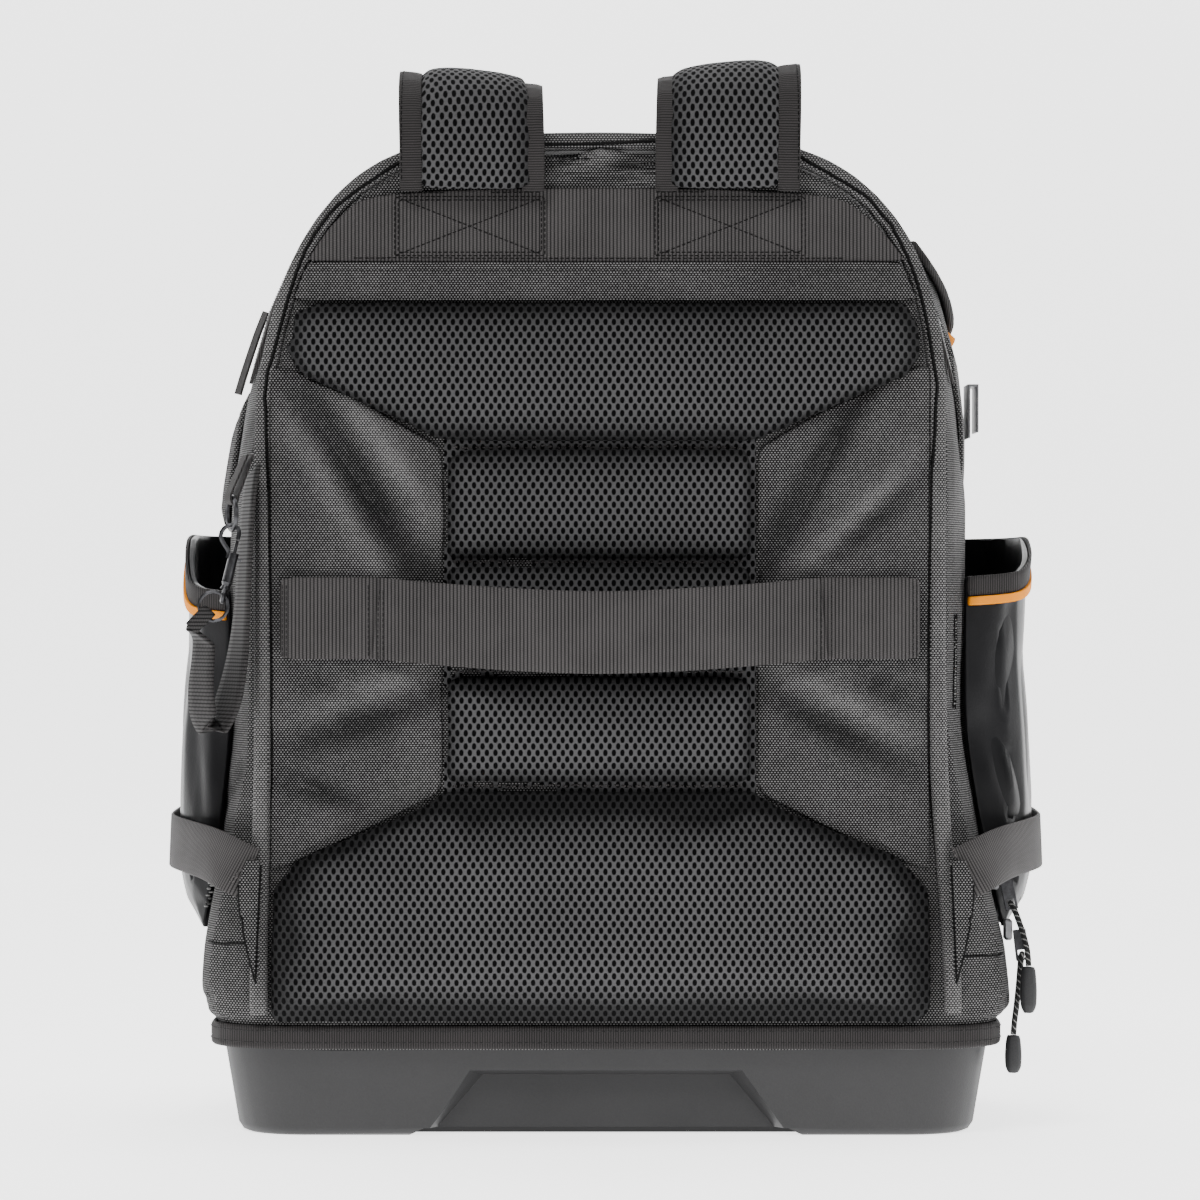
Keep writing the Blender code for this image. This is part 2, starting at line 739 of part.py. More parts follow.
def foot_half(y):
    """The body's half width where it wraps the tub's rim."""
    corner = TUB_CORNER + FOOT_OFFSET
    past = max(abs(y) - (BODY_DEPTH / 2 - corner), 0)
    return TUB_WIDTH / 2 + FOOT_OFFSET - corner + math.sqrt(max(corner**2 - past**2, 0))


def section_side(section):
    """Right-hand outline of one depth section, foot to top: (half width, z, x shift)."""
    half = mix(PANEL_WIDTH, BODY_WIDTH, section.swell) / 2
    shift = mix(PANEL_SHIFT, BODY_SHIFT, section.swell)
    shoulder = BODY_HEIGHT * section.shoulder
    top = BODY_HEIGHT * section.top
    side = []
    for z in (FOOT_Z, BINDING_TOP):
        y = BACK_Y + section.depth * BODY_DEPTH
        side.append((foot_half(y), z, 0))
    foot = BINDING_TOP + FOOT_SWELL_HEIGHT
    wide = foot_half(BACK_Y + section.depth * BODY_DEPTH) + FOOT_SWELL
    for share in SIDE_HEIGHTS:
        z = mix(foot, FLARE_TOP, share)
        flare = ease((FLARE_TOP - z) / (FLARE_TOP - foot))
        side.append((mix(half, wide, flare), z, shift * (1 - flare)))
    for step in range(ARCH_STEPS + 1):
        angle = math.pi / 2 * step / ARCH_STEPS
        across = math.cos(angle) ** (2 / ARCH_SIDE_POWER) if step < ARCH_STEPS else 0
        z = mix(shoulder, top, math.sin(angle) ** (2 / ARCH_RISE_POWER))
        side.append((half * across, z, shift + ARCH_LEAN * math.sin(2 * angle)))
    return side


def section_points(section, grow=0.0):
    """The whole outline of a depth section, from the left foot over the top to the right foot."""
    side = section_side(section)
    points = []
    for half, z, shift in side:
        y = BACK_Y + section.depth * depth_at(z)
        points.append(Vector((half + grow + shift, y, z)))
    left = [Vector((2 * shift - p.x, p.y, p.z)) for p, (_, _, shift) in zip(points, side)]
    return left + points[-2::-1]


def make_body_shell():
    loops = [section_points(section) for section in BODY_SECTIONS]
    count = len(loops[0])
    points = [p for loop in loops for p in loop]
    faces = []
    for i in range(len(loops) - 1):
        for j in range(count - 1):
            a = i * count + j
            faces.append((a, a + 1, a + 1 + count, a + count))
    last = (len(loops) - 1) * count
    for start in (0, last):
        for j in range(count // 2):
            ends = (start + j, start + j + 1, start + count - 2 - j, start + count - 1 - j)
            faces.append(tuple(dict.fromkeys(ends)))
    shell = put("body_shell", mesh_from("body_shell", points, faces), BALLISTIC)
    thick = shell.modifiers.new("wall", "SOLIDIFY")
    thick.thickness = BODY_WALL
    thick.offset = -1
    thick.use_even_offset = True
    return shell


def wall_point(sign, y, z):
    """The outer side wall at a depth and height, on the right (sign 1) or left (sign -1)."""
    share = min(max((y - BACK_Y) / depth_at(z), 0), 1)
    for near, far in zip(BODY_SECTIONS, BODY_SECTIONS[1:]):
        if share <= far.depth:
            break
    between = (share - near.depth) / (far.depth - near.depth)
    widths = []
    for section in (near, far):
        side = section_side(section)
        for low, high in zip(side, side[1:]):
            if z <= high[1]:
                break
        rise = (z - low[1]) / (high[1] - low[1])
        widths.append(mix(low[0], high[0], rise) + sign * mix(low[2], high[2], rise))
    return Vector((sign * mix(*widths, between), y, z))


def panel_half(z):
    """Half width of the back panel inside its seam."""
    side = section_side(BODY_SECTIONS[0])[2:]
    if z <= side[0][1]:
        return side[0][0]
    for low, high in zip(side, side[1:]):
        if z <= high[1]:
            return mix(low[0], high[0], (z - low[1]) / (high[1] - low[1]))
    return 0.0


def piping_depth(index, x):
    """Where a roll of piping centred at x just clears the foot's rounded corner: one height of the body,
    by the outline's index, taken across its first sections."""
    reach = PIPING_RADIUS + CLOTH_GAP + GAP
    nearest = BACK_Y + PIPING_RADIUS * PIPING_SEAT
    line = [section_points(section)[index] for section in BODY_SECTIONS[:4]]
    for a, b in zip(line, line[1:]):
        for step in range(9):
            at = a.lerp(b, step / 8)
            if abs(at.x - x) < reach:
                nearest = min(nearest, at.y - math.sqrt(reach**2 - (at.x - x) ** 2))
    return nearest


def make_back_piping():
    """The cloth roll outside the back panel's seam, foot to foot."""
    offset = PIPING_RADIUS + CLOTH_GAP
    outline = section_points(BODY_SECTIONS[0])
    route = []
    for i, p in enumerate(outline):
        if p.z < BINDING_TOP + FOOT_SWELL_HEIGHT / 2:
            continue
        along = (outline[min(i + 1, len(outline) - 1)] - outline[max(i - 1, 0)]).normalized()
        at = p + Vector((-along.z, 0, along.x)) * offset
        side = min(i, len(outline) - 1 - i)
        on_side = side < 2 + len(SIDE_HEIGHTS)
        at.y = piping_depth(i, at.x) if on_side else BACK_Y + PIPING_RADIUS * PIPING_SEAT
        route.append(at)
    return wire("back_piping", smooth_path(route, 2 * len(route) - 8), PIPING_RADIUS, BALLISTIC)


def make_main_zip():
    """The zip's tape over the top of the body, a little behind the piping."""
    first = len(SIDE_HEIGHTS) + 4
    rows = []
    for lift in (CLOTH_GAP, CLOTH_GAP + ZIP_THICK):
        grid = []
        for section in ZIP_SECTIONS:
            line = section_points(section)[first:-first]
            out = []
            for i, p in enumerate(line):
                along = (line[min(i + 1, len(line) - 1)] - line[max(i - 1, 0)]).normalized()
                out.append(p + Vector((-along.z, 0, along.x)) * lift)
            grid.append(out)
        rows.append(grid)
    return slab("main_zip", rows[1], rows[0], TAPE)


def pad_rows(low, high, edge, rows):
    """Heights from low to high, closer at the ends where the pad turns down."""
    shares = [0.0, 0.5 * edge, edge]
    shares += [mix(edge, 1 - edge, k / rows) for k in range(1, rows)]
    shares += [1 - edge, 1 - 0.5 * edge, 1.0]
    return [mix(low, high, share) for share in shares]


def puff(share, edge):
    """0 at a pad's edge, 1 inside: a quarter round over the edge's share."""
    reach = min(share, 1 - share) / edge
    return math.sqrt(max(1 - (1 - min(reach, 1)) ** 2, 0))


def pad(name, low, high, half_at, thick, parent, edge, columns=9, rows=4):
    """A puffed pad on the back wall, between two heights and a half width that varies."""
    side_edge = PAD_SIDE_ROUND
    bend = side_edge * PAD_BEND
    across = [0.0, bend, side_edge]
    across += [mix(side_edge, 1 - side_edge, k / (columns - 5)) for k in range(1, columns - 5)]
    across += [1 - side_edge, 1 - bend, 1.0]
    front, back = [], []
    for z in pad_rows(low, high, edge, rows):
        half = half_at(z)
        lift = puff((z - low) / (high - low), edge)
        line, flat = [], []
        for share in across:
            x = mix(-half, half, share)
            raise_by = PAD_EDGE + (thick - PAD_EDGE) * lift * puff(share, side_edge)
            line.append(Vector((x, PANEL_FACE - raise_by, z)))
            flat.append(Vector((x, PANEL_FACE, z)))
        front.append(line)
        back.append(flat)
    return slab(name, front, back, MESH_CLOTH, parent)


def upper_pad_half(z):
    shoulder = mix(UPPER_PAD_TOP, RUNG_1_TOP, UPPER_SLANT_SHARE)
    wide = panel_half(z) - UPPER_PAD_INSET
    return mix(RUNG_HALF, wide, clamp((z - RUNG_1_TOP - CHANNEL) / (shoulder - RUNG_1_TOP - CHANNEL)))


def lower_pad_half(z):
    shoulder = mix(PAD_FOOT_Z, LOWER_PAD_TOP, LOWER_SLANT_SHARE)
    wide = panel_half(z) - BAND_INSET
    return mix(wide, RUNG_HALF, clamp((z - shoulder) / (LOWER_PAD_TOP - CHANNEL - shoulder)))


def make_pads(parent):
    def rung_half(z):
        return RUNG_HALF

    pad("pad_lower", PAD_FOOT_Z, LOWER_PAD_TOP, lower_pad_half, LOWER_PAD_THICK, parent,
        edge=LOWER_PAD_ROUND, columns=11, rows=5)
    rungs = (("pad_rung_3", LOWER_PAD_TOP, RUNG_3_TOP), ("pad_rung_2", RUNG_3_TOP, RUNG_2_TOP),
             ("pad_rung_1", RUNG_2_TOP, RUNG_1_TOP))
    for name, low, high in rungs:
        pad(name, low + CHANNEL, high, rung_half, RUNG_THICK, parent, RUNG_ROUND, rows=2)
    pad("pad_upper", RUNG_1_TOP + CHANNEL, UPPER_PAD_TOP, upper_pad_half, UPPER_PAD_THICK, parent,
        edge=UPPER_PAD_ROUND, columns=11)


def wing_outline():
    """The plain cloth beside the rungs, right-hand side: from the lower pad's corner to the upper's."""
    gap = CHANNEL / 2
    low = mix(PAD_FOOT_Z, LOWER_PAD_TOP, LOWER_SLANT_SHARE) + gap
    high = mix(UPPER_PAD_TOP, RUNG_1_TOP, UPPER_SLANT_SHARE) - gap
    edge = panel_half(low) - BAND_INSET
    return low, high, edge


def make_wing(sign, name, parent):
    """A plate with its inner edge along the pads' diagonals and the rungs."""
    low, high, edge = wing_outline()
    gap = CHANNEL
    inner = RUNG_HALF + gap
    rows = (low, mix(low, LOWER_PAD_TOP, 0.5), LOWER_PAD_TOP, mix(LOWER_PAD_TOP, RUNG_1_TOP, 0.5),
            RUNG_1_TOP, mix(high, RUNG_1_TOP, 0.5), high)
    front, back = [], []
    for z in rows:
        start = max(inner, lower_pad_half(z) + gap if z < LOWER_PAD_TOP else inner,
                    upper_pad_half(z) + gap if z > RUNG_1_TOP else inner)
        start = min(start, edge - gap)
        line, flat = [], []
        for share in WING_COLUMNS:
            x = sign * mix(start, edge, share)
            thick = WING_THICK * (0.5 + 0.5 * puff(share, WING_ROUND))
            line.append(Vector((x, PANEL_FACE - thick, z)))
            flat.append(Vector((x, PANEL_FACE, z)))
        front.append(line)
        back.append(flat)
    return slab(name, front, back, BALLISTIC, parent)


def panel_strip(name, low, high, thick, look, parent):
    """A flat strip across the back panel, its ends cut to the panel's outline."""
    rows = [mix(low, high, share / 4) for share in range(5)]
    right = [(panel_half(z) - BAND_INSET, z) for z in rows]
    left = [(-x, z) for x, z in reversed(right)]
    return prism(name, right + left, PANEL_FACE - thick, PANEL_FACE, look, parent)


def ribbon_grids(path, sides, width, thick, crown, lateral=0.0):
    """Front and back grids of a strip along a path. width is one number or one for each point, and
    crown gives, for shares across the width, how much of the thickness stands there."""
    front, back = [], []
    widths = width if isinstance(width, list) else [width] * len(path)
    for i, (place, width) in enumerate(zip(path, widths)):
        along = (path[min(i + 1, len(path) - 1)] - path[max(i - 1, 0)]).normalized()
        side = sides[i] - along * sides[i].dot(along)
        side.normalize()
        out = along.cross(side)
        line, under = [], []
        for share, height in crown:
            at = place + side * (lateral + mix(-width / 2, width / 2, share))
            line.append(at + out * thick * height / 2)
            under.append(at - out * thick * height / 2)
        front.append(line)
        back.append(under)
    return front, back


def strap_path(sign):
    """Centre line of a shoulder strap and its sideways directions, from the seam over the top."""
    places, tilts = [], []
    depths = [row.depth * BODY_DEPTH for row in STRAP_ROUTE]
    depths += [depth_at(row.height * STRAP_TOP) + row.stand * STRAP_PAD_WIDTH for row in STRAP_FALL]
    for row, depth in zip(STRAP_ROUTE + STRAP_FALL, depths):
        x = sign * (STRAP_X + row.splay * STRAP_PAD_WIDTH) + PANEL_SHIFT
        share = (row.height - STRAP_RISE_FROM) / (1 - STRAP_RISE_FROM)
        rise = STRAP_RISE_RIGHT * ease(share) if sign > 0 else 0
        places.append(Vector((x, BACK_Y + depth, row.height * STRAP_TOP + rise)))
        tilts.append(Vector((1, 0, sign * math.tan(math.radians(row.tilt)))))
    return smooth_path(places, STRAP_STEPS), smooth_path(tilts, STRAP_STEPS)


def make_shoulder_strap(sign, side_name):
    path, sides = strap_path(sign)
    front, back = ribbon_grids(path, sides, STRAP_PAD_WIDTH, STRAP_PAD_THICK, PADDED)
    slab(f"shoulder_strap_{side_name}", front, back, MESH_CLOTH)
    beside = STRAP_PAD_WIDTH / 2 + GAP + STRAP_EDGE_WIDTH / 2
    for place, lateral in (("outer", sign * beside), ("inner", -sign * beside)):
        front, back = ribbon_grids(path, sides, STRAP_EDGE_WIDTH, STRAP_EDGE_THICK, FLAT, lateral)
        slab(f"strap_edge_{side_name}_{place}", front, back, TAPE)


def strap_end(sign):
    """Where a shoulder strap stops, its direction there and its sideways direction."""
    path, sides = strap_path(sign)
    along = (path[-1] - path[-2]).normalized()
    side = (sides[-1] - along * sides[-1].dot(along)).normalized()
    return path[-1], along, side


def make_ladder_lock(sign, side_name):
    """A plain two-slot buckle at the end of a shoulder strap."""
    place, along, side = strap_end(sign)
    name = f"ladder_lock_{side_name}"
    lock = box(name, (LOCK_WIDTH, LOCK_HEIGHT, LOCK_THICK), (0, 0, 0), PLASTIC, bevel=LOCK_BEVEL)
    slot_height = (LOCK_HEIGHT - 3 * LOCK_BAR) / 2
    for number, direction in enumerate((1, -1)):
        offset = direction * (LOCK_BAR + slot_height) / 2
        tool = box(f"{name}_slot_{number}", (LOCK_WIDTH - 2 * LOCK_BAR, slot_height, 3 * LOCK_THICK),
                   (0, offset, 0), PLASTIC, parent=lock)
        cut(lock, tool)
    lock.rotation_mode = "QUATERNION"
    turn = Vector((1, 0, 0)).rotation_difference(side)
    lock.rotation_quaternion = (turn @ Vector((0, 1, 0))).rotation_difference(-along) @ turn
    lock.location = place + along * (LOCK_HEIGHT / 2 + GAP * 2)
    return lock


def lower_web_path(sign):
    """Centre line of the slim webbing from its anchor round the side pocket to the buckle."""
    places, sides = [], []
    for row in LOWER_WEB:
        places.append(Vector((sign * row.out * WEBBING_REACH, BACK_Y + row.depth * BODY_DEPTH,
                              WEBBING_Z * (1 + row.rise))))
        sides.append(Vector((-sign * row.lean, 0, 1 - abs(row.lean) / 2)))
    end, along, side = strap_end(sign)
    out = Vector((0, 1, 0))
    meet = end + along * (LOCK_HEIGHT + LOCK_BAR)
    places += [mix(places[-1], meet, LOCK_SHARE) + out * LOCK_STAND,
               meet - along * LOCK_BAR * 1.5 + out * LOCK_END_STAND]
    sides += [Vector((LOCK_LEAN * sign, 0, 2 * LOCK_LEAN)), side * sign]
    return smooth_path(places, WEB_STEPS), smooth_path(sides, WEB_STEPS)


def make_lower_webbing(sign, side_name):
    path, sides = lower_web_path(sign)
    front, back = ribbon_grids(path, sides, SLIM_WEBBING, WEBBING_THICK, FLAT)
    return slab(f"lower_webbing_{side_name}", front, back, WEBBING)


def make_handle(parent):
    """The wide webbing across the back: two patches on the wings and a loose loop between them."""
    face = PANEL_FACE - WING_THICK - CLOTH_GAP
    half_span = HANDLE_SPAN / 2
    outer = panel_half(HANDLE_Z) - BAND_INSET
    for sign, name in ((-1, "handle_patch_left"), (1, "handle_patch_right")):
        low, high = HANDLE_Z - HANDLE_WEBBING / 2, HANDLE_Z + HANDLE_WEBBING / 2
        ends = sorted((sign * (half_span - PATCH_OVERLAP), sign * outer))
        outline = [(ends[0], low), (ends[1], low), (ends[1], high), (ends[0], high)]
        prism(name, outline, face - WEBBING_THICK, face, WEBBING, parent)
    start_y = face - WEBBING_THICK * 1.5 - CLOTH_GAP
    places, sides = [], []
    for share in HANDLE_SHARES:
        bow = ease((1 - abs(share)) / HANDLE_BOW)
        sag = 1 - abs(share) ** HANDLE_CURVE
        places.append(Vector((share * half_span, start_y - HANDLE_REACH * bow, HANDLE_Z - HANDLE_SAG * sag)))
        sides.append(Vector((0, -HANDLE_TIP * sag, 1)))
    path = smooth_path(places, HANDLE_STEPS)
    front, back = ribbon_grids(path, smooth_path(sides, HANDLE_STEPS), HANDLE_WEBBING, WEBBING_THICK, FLAT)
    return slab("handle_strap", front, back, WEBBING, parent)


def make_strap_anchor(sign, side_name):
    """The cloth triangle that the slim webbing is sewn in, outside the piping."""
    far = BACK_Y + LOWER_WEB[0].depth * BODY_DEPTH - WEBBING_THICK / 2 - ANCHOR_SEAT
    near = far - ANCHOR_THICK
    outline = [(sign * corner.out * WEBBING_REACH, corner.height * WEBBING_Z) for corner in ANCHOR_CORNERS]
    return prism(f"strap_anchor_{side_name}", outline, near, far, BALLISTIC)


def rim_height(sign, along):
    column = "right" if sign > 0 else "left"
    dip = read_table(RIM_DIPS, column, along)
    return mix(POCKET_RIM_Z, POCKET_FOOT_Z, dip)


def pocket_line(sign, height_at, offset):
    """One horizontal line round a side pocket, at a height that may vary along it."""
    line = []
    column = "right" if sign > 0 else "left"
    for step in range(POCKET_STEPS + 1):
        along = step / POCKET_STEPS
        z = height_at(along)
        y = mix(POCKET_NEAR, POCKET_FAR, along)
        wall = wall_point(sign, y, z)
        share = (z - POCKET_FOOT_Z) / (POCKET_RIM_Z - POCKET_FOOT_Z)
        bulge = read_table(POCKET_PLAN, "bulge", along) * read_table(POCKET_ROWS, column, share)
        x = mix(abs(wall.x) + CLOTH_GAP + POCKET_WALL, POCKET_REACH, bulge)
        line.append(Vector((sign * x, y, z)))
    moved = []
    for i, p in enumerate(line):
        run = line[min(i + 1, POCKET_STEPS)] - line[max(i - 1, 0)]
        out = Vector((sign * abs(run.y), -sign * run.x if run.y > 0 else 0, 0)).normalized()
        moved.append(p + out * offset)
    return moved


def pocket_band(name, sign, heights, inner, outer, look):
    """A band of cloth round a side pocket between two offsets from the pocket's outer face."""
    front = [pocket_line(sign, height, outer) for height in heights]
    back = [pocket_line(sign, height, inner) for height in heights]
    return slab(name, front, back, look)


def make_side_pocket(sign, side_name):
    def height_row(share):
        return lambda along: mix(POCKET_FOOT_Z, rim_height(sign, along), share)

    rows = [height_row(row.height) for row in POCKET_ROWS]
    pocket_band(f"side_pocket_{side_name}", sign, rows, -POCKET_WALL, 0, TARPAULIN)

    def below_rim(drop):
        return lambda along: rim_height(sign, along) - drop

    tape = [below_rim(RIM_TAPE_HEIGHT), below_rim(-GAP)]
    pocket_band(f"pocket_binding_{side_name}", sign, tape, CLOTH_GAP, CLOTH_GAP + RIM_TAPE_THICK, TAPE)
    low = RIM_TAPE_HEIGHT + GAP + RIM_PIPING_HEIGHT
    piping = [below_rim(low), below_rim(RIM_TAPE_HEIGHT + GAP)]
    pocket_band(f"pocket_piping_{side_name}", sign, piping, CLOTH_GAP, CLOTH_GAP + RIM_PIPING_THICK, YELLOW)


def upper_rim(along):
    return UPPER_POCKET_RIM_Z - UPPER_RIM_FALL * along


def wall_band(name, sign, ends, heights, inner, outer, look):
    """A band on a side wall from one depth to another, between two offsets from the wall."""
    grids = []
    for offset in (outer, inner):
        grid = []
        for height in heights:
            line = []
            for step in range(9):
                along = step / 8
                place = wall_point(sign, mix(*ends, along), height(along))
                line.append(place + Vector((sign * offset(along, height(along)), 0, 0)))
            grid.append(line)
        grids.append(grid)
    return slab(name, grids[0], grids[1], look)


def upper_stand(along, z):
    """How far the upper pocket's cloth stands off the wall: most at its rim."""
    share = (z - UPPER_POCKET_FOOT_Z) / (upper_rim(along) - UPPER_POCKET_FOOT_Z)
    column = read_table(UPPER_STANDS, "stand", along)
    rise = ease((share - UPPER_RISE_FROM) / UPPER_RISE_OVER)
    return CLOTH_GAP + UPPER_POCKET_STAND * column * mix(UPPER_FOOT_SHARE, 1, rise)


def make_upper_pocket():
    def row(share):
        return lambda along: mix(UPPER_POCKET_FOOT_Z, upper_rim(along), share)

    def below(drop):
        return lambda along: upper_rim(along) - drop

    def lifted(by):
        return lambda along, z: upper_stand(along, z) + by

    ends = (UPPER_POCKET_NEAR, UPPER_POCKET_FAR)
    heights = [row(share) for share in UPPER_ROWS]
    wall_band("upper_pocket_right", 1, ends, heights, lifted(0), lifted(POCKET_WALL), TARPAULIN)
    over = POCKET_WALL + CLOTH_GAP
    tape = [below(RIM_TAPE_HEIGHT), below(0)]
    wall_band("upper_pocket_binding", 1, ends, tape, lifted(over), lifted(over + RIM_TAPE_THICK), TAPE)
    start = RIM_TAPE_HEIGHT + GAP
    piping = [below(start + RIM_PIPING_HEIGHT), below(start)]
    wall_band("upper_pocket_piping", 1, ends, piping, lifted(over), lifted(over + RIM_PIPING_THICK), YELLOW)


def make_far_compartment():
    """The flat cloth compartment that shows past the left side, puffed out between its seams."""
    def height(share):
        return lambda along: mix(FAR_FOOT_Z, FAR_TOP_Z - FAR_FALL * (2 * along - 1) ** 2, share)

    def stand(along, z):
        up = (z - FAR_FOOT_Z) / (FAR_TOP_Z - FAR_FOOT_Z)
        swell = ease(up / FAR_FOOT_ROUND) * ease((1 - up) / FAR_TOP_ROUND)
        swell *= puff(clamp(along), FAR_SIDE_ROUND)
        return 3 * CLOTH_GAP + FAR_STAND * swell

    def outer(along, z):
        return stand(along, z) + POCKET_WALL

    heights = [height(share) for share in FAR_ROWS]
    wall_band("far_compartment_left", -1, (FAR_NEAR, FAR_FAR), heights, stand, outer, BALLISTIC)


def upper_face(y, z):
    """The upper pocket's outer face at a depth and height."""
    along = (y - UPPER_POCKET_NEAR) / (UPPER_POCKET_FAR - UPPER_POCKET_NEAR)
    return wall_point(1, y, z).x + upper_stand(along, z) + POCKET_WALL


def make_tape_clip():
    """A folded steel plate on the upper pocket's face, open at its lower edge."""
    low, high = CLIP_Z - CLIP_HEIGHT / 2, CLIP_Z + CLIP_HEIGHT / 2
    near, far = CLIP_Y - CLIP_DEPTH / 2, CLIP_Y + CLIP_DEPTH / 2
    start = SEAT_GAP + max(upper_face(y, z) for y in (near, CLIP_Y, far) for z in (low, CLIP_Z, high))
    inner_leaf = start + CLIP_STEEL
    outer_leaf = inner_leaf + CLIP_OPEN
    profile = [(start, low), (start, high), (outer_leaf + CLIP_STEEL, high),
               (outer_leaf + CLIP_STEEL, low + CLIP_OPEN), (outer_leaf, low + CLIP_OPEN),
               (outer_leaf, high - CLIP_STEEL), (inner_leaf, high - CLIP_STEEL), (inner_leaf, low)]
    return prism("tape_clip", profile, near, far, CHROME)


def make_front_pocket():
    """The plain zipped pocket on the front wall, a puffed cloth shell open towards that wall."""
    half = FRONT_POCKET_WIDTH / 2
    heights = pad_rows(FRONT_POCKET_LOW, FRONT_POCKET_HIGH, FRONT_ROUND, 3)
    grid, inner = [], []
    for z in heights:
        wall_y = BACK_Y + depth_at(z) + CLOTH_GAP
        up = (z - FRONT_POCKET_LOW) / (FRONT_POCKET_HIGH - FRONT_POCKET_LOW)
        shoulder = half * (1 - FRONT_SHOULDER * ease((up - FRONT_SHOULDER_FROM) / (1 - FRONT_SHOULDER_FROM)))
        line, under = [], []
        for share in FRONT_COLUMNS:
            stand = FRONT_POCKET_THICK * puff(up, FRONT_ROUND) * puff(share, FRONT_ROUND)
            x = mix(-shoulder, shoulder, share)
            line.append(Vector((x, wall_y + FRONT_POCKET_WALL + stand, z)))
            under.append(Vector((x * FRONT_TUCK, wall_y + stand, z)))
        grid.append(line)
        inner.append(under)
    return slab("front_pocket", grid, inner, BALLISTIC)


def oval_points(centre, wide, long, side, up, count=14):
    turns = [2 * math.pi * k / count for k in range(count)]
    return [centre + side * wide * math.sin(a) + up * long * math.cos(a) for a in turns]


def snap_frame():
    """Origin at the barrel's top, its upward axis and its sideways axis."""
    up = Vector((math.sin(SNAP_LEAN), 0, math.cos(SNAP_LEAN)))
    side = Vector((math.cos(SNAP_LEAN), 0, -math.sin(SNAP_LEAN)))
    ring_foot = TAB_PLACE - Vector((0, 0, 2 * TAB_RING_LONG))
    crown = ring_foot + Vector((0, 0, RING_WIRE + HOOK_WIRE + GAP))
    return crown - up * HOOK_HEIGHT + side * HOOK_WIDTH / 2, up, side


def make_key_tab():
    """A folded tape out of the left seam, with the ring in its fold."""
    out = TAB_ACROSS.cross(Vector((0, 0, 1)))
    turn = RING_WIRE + GAP + TAB_THICK / 2
    route = [TAB_PLACE + out * turn * fold.across + TAB_LEAN * TAB_RISE * max(fold.rise, 0)
             + Vector((0, 0, TAB_RISE * min(fold.rise, 0))) for fold in TAB_FOLDS]
    path = smooth_path(route, 20)
    front, back = ribbon_grids(path, [TAB_ACROSS] * len(path), TAB_WIDTH, TAB_THICK, FLAT)
    return slab("key_tab", front, back, TAPE)


def make_tab_ring():
    centre = TAB_PLACE - Vector((0, 0, TAB_RING_LONG))
    points = oval_points(centre, TAB_RING_WIDE, TAB_RING_LONG, TAB_ACROSS, Vector((0, 0, 1)))
    return wire("tab_ring", points, RING_WIRE, BLACK_METAL, cyclic=True)


def stand_on(made, origin, up):
    made.rotation_mode = "QUATERNION"
    made.rotation_quaternion = Vector((0, 0, 1)).rotation_difference(up)
    made.location = origin
    return made


def make_snap_hook():
    """The barrel with its bore and slot, and the hook that bends round to the bolt's end."""
    origin, up = snap_frame()[:2]
    floor = -BARREL_LENGTH + BARREL_MARGIN
    profile = [(0, -BARREL_LENGTH), (BARREL_RADIUS, -BARREL_LENGTH), (BARREL_RADIUS, 0), (BARREL_BORE, 0),
               (BARREL_BORE, floor), (0, floor)]
    barrel = stand_on(turned("snap_hook", profile, BLACK_METAL, sides=12), origin, up)
    stem = -(BARREL_RADIUS + HOOK_WIRE * HOOK_SINK)
    bends = [Vector((stem, 0, -2 * BARREL_MARGIN)), Vector((stem, 0, 0))]
    bends += [Vector((-HOOK_WIDTH * bend.wide, 0, HOOK_HEIGHT * bend.high)) for bend in HOOK_BENDS]
    bends.append(Vector((0, 0, HOOK_MOUTH + GAP)))
    hook = wire_tool("snap_hook_wire", smooth_path(bends, 16), HOOK_WIRE, BLACK_METAL, parent=barrel)
    cut(barrel, hook, "UNION")
    travel = BOLT_TRAVEL + 2 * (KNOB_RADIUS + GAP)
    slot = box("snap_slot", (2 * BARREL_RADIUS, 2 * (KNOB_RADIUS + GAP), travel),
               (BARREL_RADIUS, 0, -BARREL_MARGIN - travel / 2), BLACK_METAL, parent=barrel)
    cut(barrel, slot)
    return barrel


def make_snap_bolt():
    """The sprung bolt that closes the hook, with its thumb knob through the barrel's slot."""
    origin, up = snap_frame()[:2]
    knob_z = -BARREL_MARGIN - KNOB_RADIUS - GAP
    foot = knob_z - 2 * KNOB_RADIUS
    profile = [(0, foot), (BOLT_RADIUS, foot), (BOLT_RADIUS, HOOK_MOUTH - GAP), (0, HOOK_MOUTH - GAP)]
    bolt = stand_on(turned("snap_bolt", profile, CHROME, sides=10), origin, up)
    ends = [Vector((0, 0, knob_z)), Vector((KNOB_REACH, 0, knob_z))]
    knob = wire_tool("snap_knob", ends, KNOB_RADIUS, CHROME, parent=bolt)
    cut(bolt, knob, "UNION")
    return bolt


def make_swivel():
    """The collar under the barrel and the eye that the split ring passes through."""
    origin, up = snap_frame()[:2]
    top = -BARREL_LENGTH - GAP
    foot = top - SWIVEL_LENGTH
    waist = SWIVEL_RADIUS * SWIVEL_WAIST
    profile = [(0, foot), (SWIVEL_RADIUS, foot), (waist, (foot + top) / 2), (SWIVEL_RADIUS, top), (0, top)]
    swivel = stand_on(turned("swivel_eye", profile, BLACK_METAL, sides=12), origin, up)
    centre = Vector((0, 0, foot - SWIVEL_EYE + RING_WIRE * EYE_SINK))
    ring = oval_points(centre, SWIVEL_EYE, SWIVEL_EYE, Vector((0, 1, 0)), Vector((0, 0, 1)), 12)
    eye = wire_tool("swivel_loop", ring, RING_WIRE, BLACK_METAL, cyclic=True, parent=swivel)
    cut(swivel, eye, "UNION")
    return swivel


